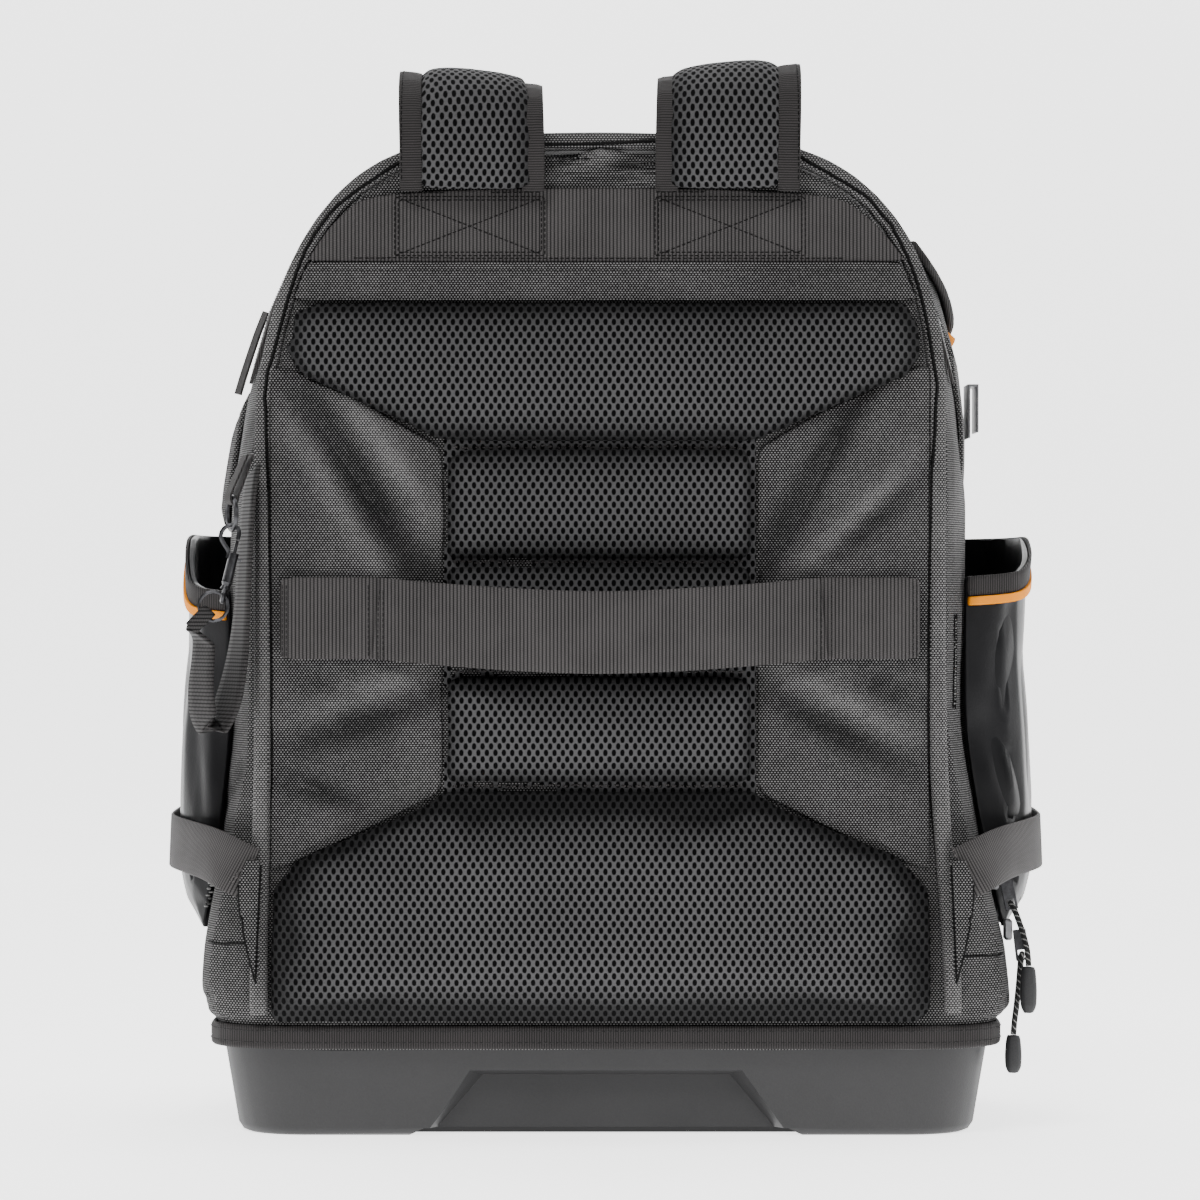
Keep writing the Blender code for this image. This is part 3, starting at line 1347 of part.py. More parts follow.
def split_ring_place():
    """The split ring's middle and the direction from there to its lowest point."""
    origin, up = snap_frame()[:2]
    eye_foot = origin - up * (BARREL_LENGTH + GAP + SWIVEL_LENGTH + 2 * SWIVEL_EYE - RING_WIRE * EYE_SINK)
    lean = Vector(SPLIT_RING_LEAN).normalized()
    inside = eye_foot + up * (RING_WIRE + SPLIT_RING_WIRE + 3 * GAP)
    return inside + lean * SPLIT_RING_RADIUS, lean


def make_split_ring():
    centre, lean = split_ring_place()
    across = Vector((lean.z, 0, -lean.x))
    points = oval_points(centre, SPLIT_RING_RADIUS, SPLIT_RING_RADIUS, across, lean, 16)
    return wire("split_ring", points, SPLIT_RING_WIRE, BLACK_METAL, cyclic=True)


def key_strap_shape():
    """Centre line, sideways directions and widths of the strap: out of the seam, down, round and up
    again to wrap the split ring with its narrow end."""
    places, sides, widths = [], [], []
    for fold in KEY_STRAP_FOLDS:
        places.append(Vector((TAB_PLACE.x + fold.x * KEY_STRAP_DROP,
                              BACK_Y - KEY_STRAP_STAND + fold.y * KEY_STRAP_WIDTH,
                              TAB_PLACE.z + KEY_STRAP_RISE - fold.drop * KEY_STRAP_DROP)))
        sides.append(Vector((fold.side_x, KEY_STRAP_FACING, fold.side_z)).normalized())
        widths.append(Vector((fold.width, 0, 0)))
    centre, lean = split_ring_place()
    low = centre + lean * SPLIT_RING_RADIUS
    turn = SPLIT_RING_WIRE + 2 * GAP + WEBBING_THICK / 2
    near = Vector((0, -1, 0))
    across = Vector((-lean.z, 0, lean.x)).normalized()
    for wrap in KEY_STRAP_WRAP:
        places.append(low + lean * turn * wrap.down + near * turn * wrap.out)
        sides.append(across)
        widths.append(Vector((KEY_STRAP_END_WIDTH / KEY_STRAP_WIDTH, 0, 0)))
    steps = 38
    shares = [KEY_STRAP_WIDTH * w.x for w in smooth_path(widths, steps)]
    return smooth_path(places, steps), smooth_path(sides, steps), shares


def make_key_strap():
    path, sides, widths = key_strap_shape()
    front, back = ribbon_grids(path, sides, widths, WEBBING_THICK, FLAT)
    return slab("key_strap", front, back, WEBBING)


def make_zip_pull_left():
    """The flat cloth pull that hangs out high on the left side."""
    path = []
    y = BACK_Y + ZIP_SECTIONS[-1].depth * depth_at(PULL_LEFT_TOP) + PULL_LEFT_BEHIND_ZIP
    for step in range(PULL_LEFT_STEPS + 1):
        share = step / PULL_LEFT_STEPS
        z = mix(PULL_LEFT_TOP, PULL_LEFT_TOP - PULL_LEFT_LENGTH, share)
        stand = mix(PULL_LEFT_STAND, PULL_LEFT_FLARE * PULL_LEFT_STAND, share)
        path.append(wall_point(-1, y, z) - Vector((stand, 0, 0)))
    sides = [Vector(PULL_LEFT_SIDE)] * len(path)
    front, back = ribbon_grids(path, sides, PULL_LEFT_WIDTH, PULL_LEFT_THICK, FLAT)
    return slab("zip_pull_left", front, back, TAPE)


def cord_path(number):
    """A cord's centre line: up one leg, through the pull's eye at the crown and down the other."""
    legs = CORD_ROUTES[number - 1]
    far = [Vector((leg.x, leg.y + leg.apart, leg.z)) for leg in legs]
    near = [Vector((leg.x, leg.y - leg.apart, leg.z)) for leg in reversed(legs[:-1])]
    return smooth_path(far + near, CORD_STEPS)


def make_zip_puller(number):
    """A slider on the wall, its metal pull, the cord through the pull and the cord's rubber tip."""
    path = cord_path(number)
    wire(f"zip_cord_{number}", path, CORD_RADIUS, CORD_BLACK, resolution=2)
    last = CORD_ROUTES[number - 1][-1]
    crown = Vector((last.x, last.y, last.z))
    slider_z = crown.z + SLIDER_RISE
    wall = max(wall_point(1, crown.y, slider_z + side * SLIDER_LENGTH / 2).x for side in (-1, 1))
    slider_x = wall + SEAT_GAP + SLIDER_THICK / 2
    box(f"zip_slider_{number}", (SLIDER_THICK, SLIDER_WIDTH, SLIDER_LENGTH), (slider_x, crown.y, slider_z),
        BLACK_METAL, bevel=SLIDER_BEVEL)
    eye_half = CORD_RADIUS + 2 * GAP
    top = Vector((slider_x + SLIDER_THICK / 2 + GAP + PULL_WIDTH / 2, crown.y, slider_z))
    along = (crown - top).normalized()
    foot = crown + along * (eye_half + PULL_THICK)
    length = (foot - top).length
    pull = box(f"zip_pull_{number}", (PULL_WIDTH, PULL_THICK, length), (top + foot) / 2, CHROME,
               bevel=PULL_BEVEL)
    pull.rotation_mode = "QUATERNION"
    pull.rotation_quaternion = Vector((0, 0, -1)).rotation_difference(along)
    eye_z = -length / 2 + PULL_THICK + eye_half
    tool = box(f"zip_pull_{number}_eye", (2 * eye_half, 4 * PULL_THICK, 2 * eye_half), (0, 0, eye_z), CHROME,
               parent=pull)
    cut(pull, tool)
    make_cord_tip(number, path)


def make_cord_tip(number, path):
    """A rubber tip that both ends of the cord go into."""
    top = (path[0] + path[-1]) / 2 - Vector((0, 0, GAP))
    radius, length = TIP_RADIUS, TIP_LENGTHS[number - 1]
    profile = [(0, -length)] + [(ring.wide * radius, -ring.deep * length) for ring in TIP_RINGS] + [(0, 0)]
    tip = turned(f"cord_tip_{number}", profile, RUBBER, sides=12)
    tip.location = top
    return tip


def main():
    clear_scene()
    panel = bpy.data.objects.new("panel_place", None)
    bpy.context.scene.collection.objects.link(panel)
    panel.location = (PANEL_SHIFT, 0, 0)
    make_tub()
    make_base_binding()
    make_body_shell()
    make_back_piping()
    make_main_zip()
    make_pads(panel)
    panel_strip("top_webbing_band", BAND_LOW, BAND_HIGH, BAND_THICK, WEBBING, panel)
    panel_strip("top_flap", FLAP_LOW, BAND_LOW - GAP, FLAP_THICK, BALLISTIC, panel)
    make_handle(panel)
    for sign, side_name in ((-1, "left"), (1, "right")):
        make_wing(sign, f"wing_{side_name}", panel)
        make_shoulder_strap(sign, side_name)
        make_ladder_lock(sign, side_name)
        make_lower_webbing(sign, side_name)
        make_strap_anchor(sign, side_name)
        make_side_pocket(sign, side_name)
    make_upper_pocket()
    make_tape_clip()
    make_far_compartment()
    make_front_pocket()
    make_key_tab()
    make_tab_ring()
    make_snap_hook()
    make_snap_bolt()
    make_swivel()
    make_split_ring()
    make_key_strap()
    make_zip_pull_left()
    for number in (1, 2):
        make_zip_puller(number)


main()
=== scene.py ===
"""Tool backpack, dressed for its picture: ballistic cloth, spacer mesh, webbing, tarpaulin, metal and a
moulded tub, sewn over the CAD solids. Metres, +Z up, the wearer's side faces -Y."""
import math
from collections import namedtuple
from functools import partial

import bmesh
import bpy
import numpy as np
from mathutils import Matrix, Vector, noise
from mathutils.bvhtree import BVHTree


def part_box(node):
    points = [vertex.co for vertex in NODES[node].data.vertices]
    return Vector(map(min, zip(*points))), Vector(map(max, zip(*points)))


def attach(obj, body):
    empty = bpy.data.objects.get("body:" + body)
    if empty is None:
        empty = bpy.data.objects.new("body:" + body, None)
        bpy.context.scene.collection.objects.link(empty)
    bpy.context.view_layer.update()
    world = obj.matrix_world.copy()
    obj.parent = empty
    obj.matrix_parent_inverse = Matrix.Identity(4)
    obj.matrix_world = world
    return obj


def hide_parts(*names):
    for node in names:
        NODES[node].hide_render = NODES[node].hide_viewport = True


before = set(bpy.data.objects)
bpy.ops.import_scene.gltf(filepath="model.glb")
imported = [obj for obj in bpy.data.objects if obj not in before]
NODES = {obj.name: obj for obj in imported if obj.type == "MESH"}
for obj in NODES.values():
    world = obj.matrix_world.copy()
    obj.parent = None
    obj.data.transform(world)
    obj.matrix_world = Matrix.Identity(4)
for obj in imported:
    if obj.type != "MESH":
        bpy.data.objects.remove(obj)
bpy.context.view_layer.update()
BACK_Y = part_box("body_shell")[0].y
SIDES = (("left", -1), ("right", 1))
X, Y, Z = range(3)
RIGHT, FRONT, BACK, UP = (1, 0, 0), (0, 1, 0), (0, -1, 0), (0, 0, 1)

# The camera looks straight at the back panel
CAMERA_X = -0.0028
CAMERA_Z = 0.251
CAMERA_BACK = 2.4
LENS = 154.3
SENSOR = 36

# Pitches of the weaves, the knit and the braid
WEAVE_ACROSS = 0.00150
WEAVE_UP = 0.00105
MESH_ACROSS = 0.00393
MESH_UP = 0.00303
RIB = 0.00172
TAPE_RIB = 0.00115
TWILL = 0.0011
PLAIT = 0.0011
PLAIT_LEAN = 1.6
FLECK_ALONG = 0.0031
FLECK_ROUND = 0.0040

# Joining the solids' facets, angles in degrees
WELD = 0.00002
HARD_ANGLE = 40
JOIN_FLATTER = 22
JOIN_SQUARER = 60
CREASE = 0.9


# Finishes

def maths(operation, turned=False):
    """A method that adds one Math node. Turned, the strand is its second value."""
    def work(strand, *others):
        values = (*others, strand) if turned else (strand, *others)
        return strand.finish.node("ShaderNodeMath", {"operation": operation}, dict(enumerate(values)))
    return work


class Strand:
    """One value in a finish. Arithmetic on it adds the Math nodes that work it out."""

    __add__ = __radd__ = maths("ADD")
    __sub__ = maths("SUBTRACT")
    __rsub__ = maths("SUBTRACT", turned=True)
    __mul__ = __rmul__ = maths("MULTIPLY")
    __truediv__ = maths("DIVIDE")
    __mod__ = maths("FLOORED_MODULO")
    __pow__ = maths("POWER")
    floor = maths("FLOOR")
    sine = maths("SINE")
    size = maths("ABSOLUTE")

    def __init__(self, finish, socket):
        self.finish = finish
        self.socket = socket

    def hump(self):
        """The height of a row of round threads, one thread for each whole number."""
        return (self * math.pi).sine().size()

    def fade(self, low, high):
        """0 below low, 1 above high, eased between."""
        return self.finish.node("ShaderNodeMapRange", {"interpolation_type": "SMOOTHSTEP"},
                                {0: self, 1: low, 2: high, 3: 0.0, 4: 1.0})


class Finish:
    """One material: its Principled shader and the nodes that feed it."""

    def __init__(self, name, **constants):
        self.material = bpy.data.materials.new(name)
        self.material.use_nodes = True
        self.tree = self.material.node_tree
        self.shader = self.tree.nodes["Principled BSDF"]
        for socket, value in constants.items():
            self.shader.inputs[socket.replace("_", " ")].default_value = value

    def node(self, kind, settings=None, sockets=None, output=0):
        made = self.tree.nodes.new(kind)
        for setting, value in (settings or {}).items():
            setattr(made, setting, value)
        for socket, value in (sockets or {}).items():
            if isinstance(value, Strand):
                self.tree.links.new(value.socket, made.inputs[socket])
            else:
                made.inputs[socket].default_value = value
        return Strand(self, made.outputs[output])

    def lay(self):
        """Metres along and across the cloth, as it was laid out on the piece."""
        place = self.node("ShaderNodeAttribute", {"attribute_name": "lay"}, output=1)
        split = self.node("ShaderNodeSeparateXYZ", {}, {0: place})
        return split, Strand(self, split.socket.node.outputs[1])

    def painted_shading(self):
        """Painted shading: above 0 a painted highlight on fold ridges and the piping's roll, below 0
        painted shade in fold valleys and at pad and strap edges.
        """
        return self.node("ShaderNodeAttribute", {"attribute_name": "painted_shading"}, output=2)

    def place(self):
        return self.node("ShaderNodeTexCoord", output=3)

    def cloud(self, size, detail=2.0, rough=0.5):
        """Soft random patches of about this size in metres."""
        return self.node("ShaderNodeTexNoise", {}, {"Vector": self.place(), "Scale": 1 / size,
                                                    "Detail": detail, "Roughness": rough})

    def grain(self, across, up):
        """One random value for each thread, numbered by two strands."""
        at = self.node("ShaderNodeCombineXYZ", {}, {0: across, 1: up})
        return self.node("ShaderNodeTexWhiteNoise", {"noise_dimensions": "2D"}, {"Vector": at})

    def tint(self, share, low, high):
        """A colour between two, by a value."""
        return self.node("ShaderNodeMix", {"data_type": "RGBA"},
                         {0: share, 6: (*low, 1), 7: (*high, 1)}, output=2)

    def paint(self, colour, roughness=None, height=None, depth=0.0, strength=1.0):
        """Links what varies over the piece. The height is a bump of this depth in metres."""
        self.tree.links.new(colour.socket, self.shader.inputs["Base Color"])
        if roughness:
            self.tree.links.new(roughness.socket, self.shader.inputs["Roughness"])
        if height:
            bump = self.node("ShaderNodeBump", {},
                             {"Height": height, "Distance": depth, "Strength": strength})
            self.tree.links.new(bump.socket, self.shader.inputs["Normal"])
        return self.material


def ballistic_cloth():
    """A heavy basket weave, its short bright threads set like bricks."""
    cloth = Finish("ballistic_cloth", Specular_IOR_Level=0.08)
    along, across = cloth.lay()
    row = across / WEAVE_UP
    brick = along / WEAVE_ACROSS + row.floor() * 0.5
    thread = brick.hump() * row.hump()
    patch = cloth.cloud(0.035)
    shade = thread * 0.84 + cloth.grain(brick.floor(), row.floor()) * 0.10 + patch * 0.24 - 0.11
    # Painted highlight and shade from the piece's folds and from the piping's roll
    shade = shade + cloth.painted_shading() * 0.16
    colour = cloth.tint(shade.fade(0.28, 0.98), (0.003, 0.003, 0.0032), (0.205, 0.200, 0.200))
    return cloth.paint(colour, 0.78 - thread * 0.24, thread, depth=0.00016, strength=0.8)


def spacer_mesh():
    """Open knit with upright oval holes, each row set half a hole aside; the holes are near black."""
    knit = Finish("spacer_mesh", Specular_IOR_Level=0.08)
    along, across = knit.lay()
    wander = knit.cloud(0.03, 1.0) * 0.16
    row = across / MESH_UP + wander
    hole_up = row % 1.0 - 0.5
    step = (row.floor() % 2.0) * 0.5
    hole_across = (along / MESH_ACROSS + step + wander) % 1.0 - 0.5
    reach = ((hole_across * 2.65) ** 2.0 + (hole_up * 1.28) ** 2.0) ** 0.5
    strand = reach.fade(0.46, 0.84)
    fibre = knit.cloud(0.0007, 2.0)
    # Painted shade towards pad and strap edges, and painted shade and highlight on folds
    glow = strand * (0.62 + fibre * 0.5) * (0.75 + knit.cloud(0.05) * 0.45) * (1.0 + knit.painted_shading() * 0.62)
    colour = knit.tint(glow.fade(0.0, 1.05), (0.0006, 0.0006, 0.0007), (0.072, 0.071, 0.073))
    return knit.paint(colour, 0.9 - strand * 0.22, strand + fibre * 0.12, depth=0.0007, strength=0.75)


def webbing(name, rib, light, dark):
    """Woven strap: ribs across its length, each a row of small beads."""
    strap = Finish(name, Specular_IOR_Level=0.05)
    along, across = strap.lay()
    ribs = along / rib
    bead = (across / (rib * 0.62) + ribs.floor() * 0.5).hump()
    ridge = ribs.hump() ** 0.8
    shade = ridge * (0.62 + bead * 0.28) + strap.cloud(0.02) * 0.26 - 0.08
    colour = strap.tint(shade.fade(0.0, 1.0), dark, light)
    return strap.paint(colour, 0.72 - ridge * 0.2, ridge * 0.8 + bead * 0.2, depth=0.00022, strength=0.8)


def tarpaulin():
    """Coated cloth, smooth and half glossy, with a faint grain and rubbed patches."""
    coat = Finish("tarpaulin", Specular_IOR_Level=0.19)
    rub = coat.cloud(0.06, 3.0, 0.6)
    grain = coat.cloud(0.0012, 2.0)
    colour = coat.tint(rub.fade(0.2, 0.9), (0.0025, 0.0025, 0.003), (0.008, 0.008, 0.009))
    return coat.paint(colour, 0.22 + rub * 0.18 + grain * 0.06, grain + coat.cloud(0.012, 3.0) * 3.0,
                      depth=0.0001, strength=0.6)


def piping_cover():
    """Yellow twill, a little paler where it is rubbed."""
    cover = Finish("yellow_piping", Specular_IOR_Level=0.12)
    along, across = cover.lay()
    twill = ((along + across) / TWILL).hump()
    rub = cover.cloud(0.008, 3.0)
    colour = cover.tint((twill * 0.6 + rub * 0.6).fade(0.1, 1.0), (0.60, 0.17, 0.0), (0.82, 0.27, 0.0))
    return cover.paint(colour, 0.55 + rub * 0.2, twill, depth=0.0001, strength=0.5)


def moulded_plastic():
    """Fine spark-eroded grain, a little polished where it stands and rubs."""
    tub = Finish("moulded_plastic", Specular_IOR_Level=0.30)
    grain = tub.cloud(0.0009, 3.0, 0.65)
    scuff = tub.cloud(0.05, 5.0, 0.7)
    wear = (grain * 0.5 + scuff * 0.6).fade(0.2, 0.95)
    colour = tub.tint(wear, (0.014, 0.014, 0.0145), (0.027, 0.0265, 0.0275))
    return tub.paint(colour, 0.44 + scuff * 0.16, grain, depth=0.00012, strength=0.6)


def rubbed_metal(name, dark, light, metallic, rough):
    """Metal with a haze of wear and fine scratches."""
    metal = Finish(name, Metallic=metallic)
    haze = metal.cloud(0.004, 4.0, 0.7)
    scratch = metal.cloud(0.0006, 2.0, 0.8)
    colour = metal.tint(haze.fade(0.3, 0.8), dark, light)
    return metal.paint(colour, rough + haze * 0.16 + scratch * 0.06, scratch, depth=0.00003, strength=0.4)


def tip_rubber():
    """Soft black rubber with a fine grain."""
    rubber = Finish("tip_rubber", Specular_IOR_Level=0.35)
    grain = rubber.cloud(0.0006, 2.0)
    colour = rubber.tint(grain.fade(0.2, 0.8), (0.009, 0.009, 0.010), (0.022, 0.022, 0.023))
    return rubber.paint(colour, 0.5 + grain * 0.2, grain, depth=0.0001, strength=0.5)


def braided_cord():
    """Black braid with a pale fleck at every few crossings."""
    braid = Finish("braided_cord", Specular_IOR_Level=0.3)
    along, across = braid.lay()
    lean = across * PLAIT_LEAN
    plait = ((along + lean) / PLAIT).hump() * ((along - lean) / PLAIT).hump()
    turn = (along / FLECK_ALONG + across / FLECK_ROUND) % 1.0
    fleck = turn.fade(0.70, 0.78) * (1 - turn.fade(0.92, 0.99)) * plait.fade(0.1, 0.5)
    colour = braid.tint(fleck, (0.010, 0.010, 0.010), (0.42, 0.41, 0.40))
    return braid.paint(colour, 0.8 - fleck * 0.2, plait, depth=0.0003, strength=0.9)


def stitch_thread(name, light, dark=(0.008, 0.008, 0.008)):
    """Twisted sewing thread."""
    thread = Finish(name, Specular_IOR_Level=0.10)
    twist = thread.cloud(0.0006, 1.0)
    colour = thread.tint(twist.fade(0.3, 0.7), dark, light)
    return thread.paint(colour, 0.55 + twist * 0.2, twist, depth=0.0001, strength=0.4)


def backdrop_paper(name, glow):
    """White paper that also gives off some light of its own."""
    paper = Finish(name, Roughness=0.9, Specular_IOR_Level=0.1, Emission_Color=(1, 1, 1, 1),
                   Emission_Strength=glow)
    return paper.paint(paper.tint(paper.cloud(0.4), (0.86, 0.86, 0.86), (0.90, 0.90, 0.90)))


LOOKS = {
    "ballistic_cloth": ballistic_cloth(),
    "mesh_cloth": spacer_mesh(),
    "webbing": webbing("webbing", RIB, (0.070, 0.066, 0.066), (0.003, 0.003, 0.003)),
    "binding_tape": webbing("binding_tape", TAPE_RIB, (0.040, 0.037, 0.037), (0.006, 0.006, 0.006)),
    "tarpaulin": tarpaulin(),
    "yellow_piping": piping_cover(),
    "base_plastic": moulded_plastic(),
    "black_metal": rubbed_metal("black_metal", (0.03, 0.03, 0.032), (0.07, 0.07, 0.075), 0.85, 0.24),
    "bright_metal": rubbed_metal("bright_metal", (0.17, 0.17, 0.175), (0.25, 0.25, 0.26), 1.0, 0.30),
    "tip_rubber": tip_rubber(),
    "cord": braided_cord(),
}
ZIP_TEETH = rubbed_metal("zip_teeth", (0.10, 0.10, 0.10), (0.30, 0.30, 0.29), 0.2, 0.35)
KEY_WEBBING = webbing("key_webbing", RIB, (0.044, 0.042, 0.042), (0.002, 0.002, 0.002))
THREAD = stitch_thread("stitch_thread", (0.035, 0.034, 0.034))
PALE_THREAD = stitch_thread("pale_thread", (0.13, 0.12, 0.12))
DARK_THREAD = stitch_thread("dark_thread", (0.010, 0.0095, 0.0095), (0.002, 0.002, 0.002))
# The seam thread is near black, darker than the other threads, as painted shade in the grooves its seams
# lie in
SEAM_AND_SHADE_THREAD = stitch_thread("seam_and_shade_thread", (0.0025, 0.0024, 0.0024), (0.001, 0.001, 0.001))


# Cutting, shaping and laying out cloth

def put(name, data):
    """A new object in the scene."""
    thing = bpy.data.objects.new(name, data)
    bpy.context.scene.collection.objects.link(thing)
    return thing


def from_bmesh(name, shape):
    mesh = bpy.data.meshes.new(name)
    shape.to_mesh(mesh)
    shape.free()
    return put(name, mesh)


def pattern(node, sharp=38):
    """A copy of a CAD solid with its triangles joined back into quads and its hard edges kept."""
    shape = bmesh.new()
    shape.from_mesh(NODES[node].data)
    bmesh.ops.remove_doubles(shape, verts=shape.verts, dist=WELD)
    bmesh.ops.join_triangles(shape, faces=shape.faces, angle_face_threshold=math.radians(JOIN_FLATTER),
                             angle_shape_threshold=math.radians(JOIN_SQUARER))
    hard = shape.edges.layers.float.new("crease_edge")
    for edge in shape.edges:
        if edge.calc_face_angle(math.pi) > math.radians(sharp):
            edge[hard] = CREASE
    return from_bmesh(f"{node}_cloth", shape)


def settle(piece):
    """Applies what the piece's modifiers do."""
    graph = bpy.context.evaluated_depsgraph_get()
    mesh = bpy.data.meshes.new_from_object(piece.evaluated_get(graph))
    piece.modifiers.clear()
    piece.data = mesh
    return piece


def refine(piece, rounds):
    """Rounds the piece off by splitting its faces."""
    round_off = piece.modifiers.new("refine", "SUBSURF")
    round_off.levels = rounds
    round_off.render_levels = rounds
    return settle(piece)


def vectors_of(piece, what):
    """One vector for each point of the piece, as rows of an array."""
    flat = np.empty(len(piece.data.vertices) * 3, np.float32)
    piece.data.vertices.foreach_get(what, flat)
    return flat.reshape(-1, 3).astype(float)


def points_of(piece):
    return vectors_of(piece, "co")


def normals_of(piece):
    return vectors_of(piece, "normal")


def move_to(piece, points):
    piece.data.vertices.foreach_set("co", points.astype(np.float32).ravel())
    piece.data.update()


def faces_of(piece):
    """Each face's corners: start, count, and the vertex at each corner."""
    mesh = piece.data
    starts = np.empty(len(mesh.polygons), np.int32)
    counts = np.empty(len(mesh.polygons), np.int32)
    corners = np.empty(len(mesh.loops), np.int32)
    mesh.polygons.foreach_get("loop_start", starts)
    mesh.polygons.foreach_get("loop_total", counts)
    mesh.loops.foreach_get("vertex_index", corners)
    return starts, counts, corners


def write_lay(piece, values):
    """Keeps where each corner of the piece lies on its flat cloth, in metres."""
    old = piece.data.attributes.get("lay")
    if old:
        piece.data.attributes.remove(old)
    layer = piece.data.attributes.new("lay", "FLOAT_VECTOR", "CORNER")
    layer.data.foreach_set("vector", values.astype(np.float32).ravel())


# How much sooner a sloping face counts as one of the back
TO_BACK = 1.6
PAD_TO_BACK = 4


def lay_flat(piece, to_back=TO_BACK):
    """Lays the cloth on from the side each face looks to, in metres."""
    points = points_of(piece)
    starts, counts, corners = faces_of(piece)
    facing = np.empty(len(starts) * 3, np.float32)
    piece.data.polygons.foreach_get("normal", facing)
    facing = np.abs(facing.reshape(-1, 3))
    facing[:, 1] *= to_back
    side = np.repeat(np.argmax(facing, axis=1), counts)
    at = points[corners]
    along = np.where(side == 0, at[:, 1], at[:, 0])
    across = np.where(side == 2, at[:, 1], at[:, 2])
    write_lay(piece, np.stack([along, across, side], axis=1))


# A strap's middle line: the points on it, and the degree of the curve through it
WAY_MARKS = 400
WAY_DEGREE = 9
OFF_AXIS = (0.3, 0.2, 0.9)
NOTHING = 1e-9


def turned_about(points, centre, axis):
    """How far round a centre each point is, from the place where the strap has its widest gap."""
    axis = np.array(axis, float)
    first = np.cross(axis, OFF_AXIS)
    first /= np.linalg.norm(first)
    second = np.cross(axis, first)
    arms = points - np.array(centre, float)
    angle = np.arctan2(arms @ second, arms @ first)
    order = np.sort(angle)
    gaps = np.diff(np.append(order, order[0] + 2 * np.pi))
    return (angle - order[(np.argmax(gaps) + 1) % len(order)]) % (2 * np.pi)


def middle_way(turn, places):
    """The smoothed middle line of a strap, at even steps of its turn round a centre."""
    marks = np.linspace(0, turn.max(), WAY_MARKS)
    way = [np.polyval(np.polyfit(turn, column, WAY_DEGREE), marks) for column in places.T]
    return marks, np.stack(way, axis=1)


def lengths_along(way):
    """How far along a line each of its points is."""
    return np.concatenate([[0], np.cumsum(np.linalg.norm(np.diff(way, axis=0), axis=1))])


def lay_wound(piece, centre, turned=False):
    """Lays the cloth on along a strap that goes over a centre: along it, and across it."""
    points = points_of(piece)
    turn = turned_about(points, centre, (1, 0, 0))
    middle = middle_way(turn, points)[1]
    lengths = lengths_along(middle)
    heading = np.gradient(middle, axis=0)
    heading /= np.linalg.norm(heading, axis=1)[:, None] + NOTHING
    side = np.cross(heading, middle - np.array(centre, float))
    side /= np.linalg.norm(side, axis=1)[:, None] + NOTHING
    last = WAY_MARKS - 1
    nearest = np.clip((turn / turn.max() * last).astype(int), 0, last)
    past = points - middle[nearest]
    along = lengths[nearest] + np.sum(past * heading[nearest], axis=1)
    across = np.sum(past * side[nearest], axis=1)
    if turned:
        along, across = across, along
    corners = faces_of(piece)[2]
    write_lay(piece, np.stack([along[corners], across[corners], np.zeros(len(corners))], axis=1))


# Where the low webbing begins to lean at the back, over what run, how much, and about what height
BELT_LEAN_FROM = -0.03
BELT_LEAN_RUN = 0.05
BELT_LEAN = 0.42
BELT_LEAN_Z = 0.125


def lay_belt(piece, centre):
    """Lays webbing on along its level way round the body. Its ribs lean where it runs down at the back."""
    points = points_of(piece)
    turn = turned_about(points, centre, (0, 0, 1))
    marks, way = middle_way(turn, points[:, :2])
    lean = np.clip((BELT_LEAN_FROM - points[:, Y]) / BELT_LEAN_RUN, 0, 1) * np.sign(centre[X])
    along = np.interp(turn, marks, lengths_along(way)) + BELT_LEAN * lean * (points[:, Z] - BELT_LEAN_Z)
    corners = faces_of(piece)[2]
    write_lay(piece, np.stack([along, points[:, Z], points[:, X] * 0], axis=1)[corners])


def lay_hanging(piece):
    """Lays the cloth on along a strap that hangs straight down."""
    points = points_of(piece)[faces_of(piece)[2]]
    write_lay(piece, np.stack([points[:, Z], points[:, X] + points[:, Y], points[:, X] * 0], axis=1))


def finish_off(piece, slot, sharp=HARD_ANGLE, look=None):
    """Shades the piece, gives it its finish and fixes it to the pack."""
    piece.data.shade_smooth()
    piece.data.set_sharp_from_angle(angle=math.radians(sharp))
    piece.data.materials.clear()
    piece.data.materials.append(look or LOOKS[slot])
    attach(piece, "pack")
    return piece


Fold = namedtuple("Fold", "start end width depth")
FOLD_TAIL = 0.12
# How far a fold moves the cloth for its painted shade or highlight to be full
FULL_SHADING_SHIFT = 0.0016


def creases(y, *rows):
    """Folds on an upright panel. Each row has the x and z of a fold's two ends, its width and its depth."""
    return tuple(Fold((x, y, z), (to_x, y, to_z), width, depth) for x, z, to_x, to_z, width, depth in rows)


def paint_shading(piece, rise):
    """Notes on the cloth where painted highlight goes (above 0) and where painted shade goes (below 0)."""
    painted_shading = piece.data.attributes.get("painted_shading") or piece.data.attributes.new("painted_shading", "FLOAT", "POINT")
    painted_shading.data.foreach_set("value", rise.astype(np.float32))


def press_folds(piece, folds):
    """Pushes valleys (depth above 0) and ridges (below 0) into the cloth along short lines, with painted
    shade in the valleys and painted highlight on the ridges.
    """
    points = points_of(piece)
    normals = normals_of(piece)
    shift = np.zeros(len(points))
    for fold in folds:
        start = np.array(fold.start, float)
        line = np.array(fold.end, float) - start
        share = np.clip((points - start) @ line / (line @ line), 0, 1)
        away = np.linalg.norm(points - start - share[:, None] * line, axis=1)
        full = np.sin(np.pi * (FOLD_TAIL + (1 - 2 * FOLD_TAIL) * share))
        shift -= fold.depth * full * np.exp(-(away / fold.width) ** 2)
    # Painted highlight on the ridges, painted shade in the valleys
    paint_shading(piece, shift / FULL_SHADING_SHIFT)
    move_to(piece, points + normals * shift[:, None])


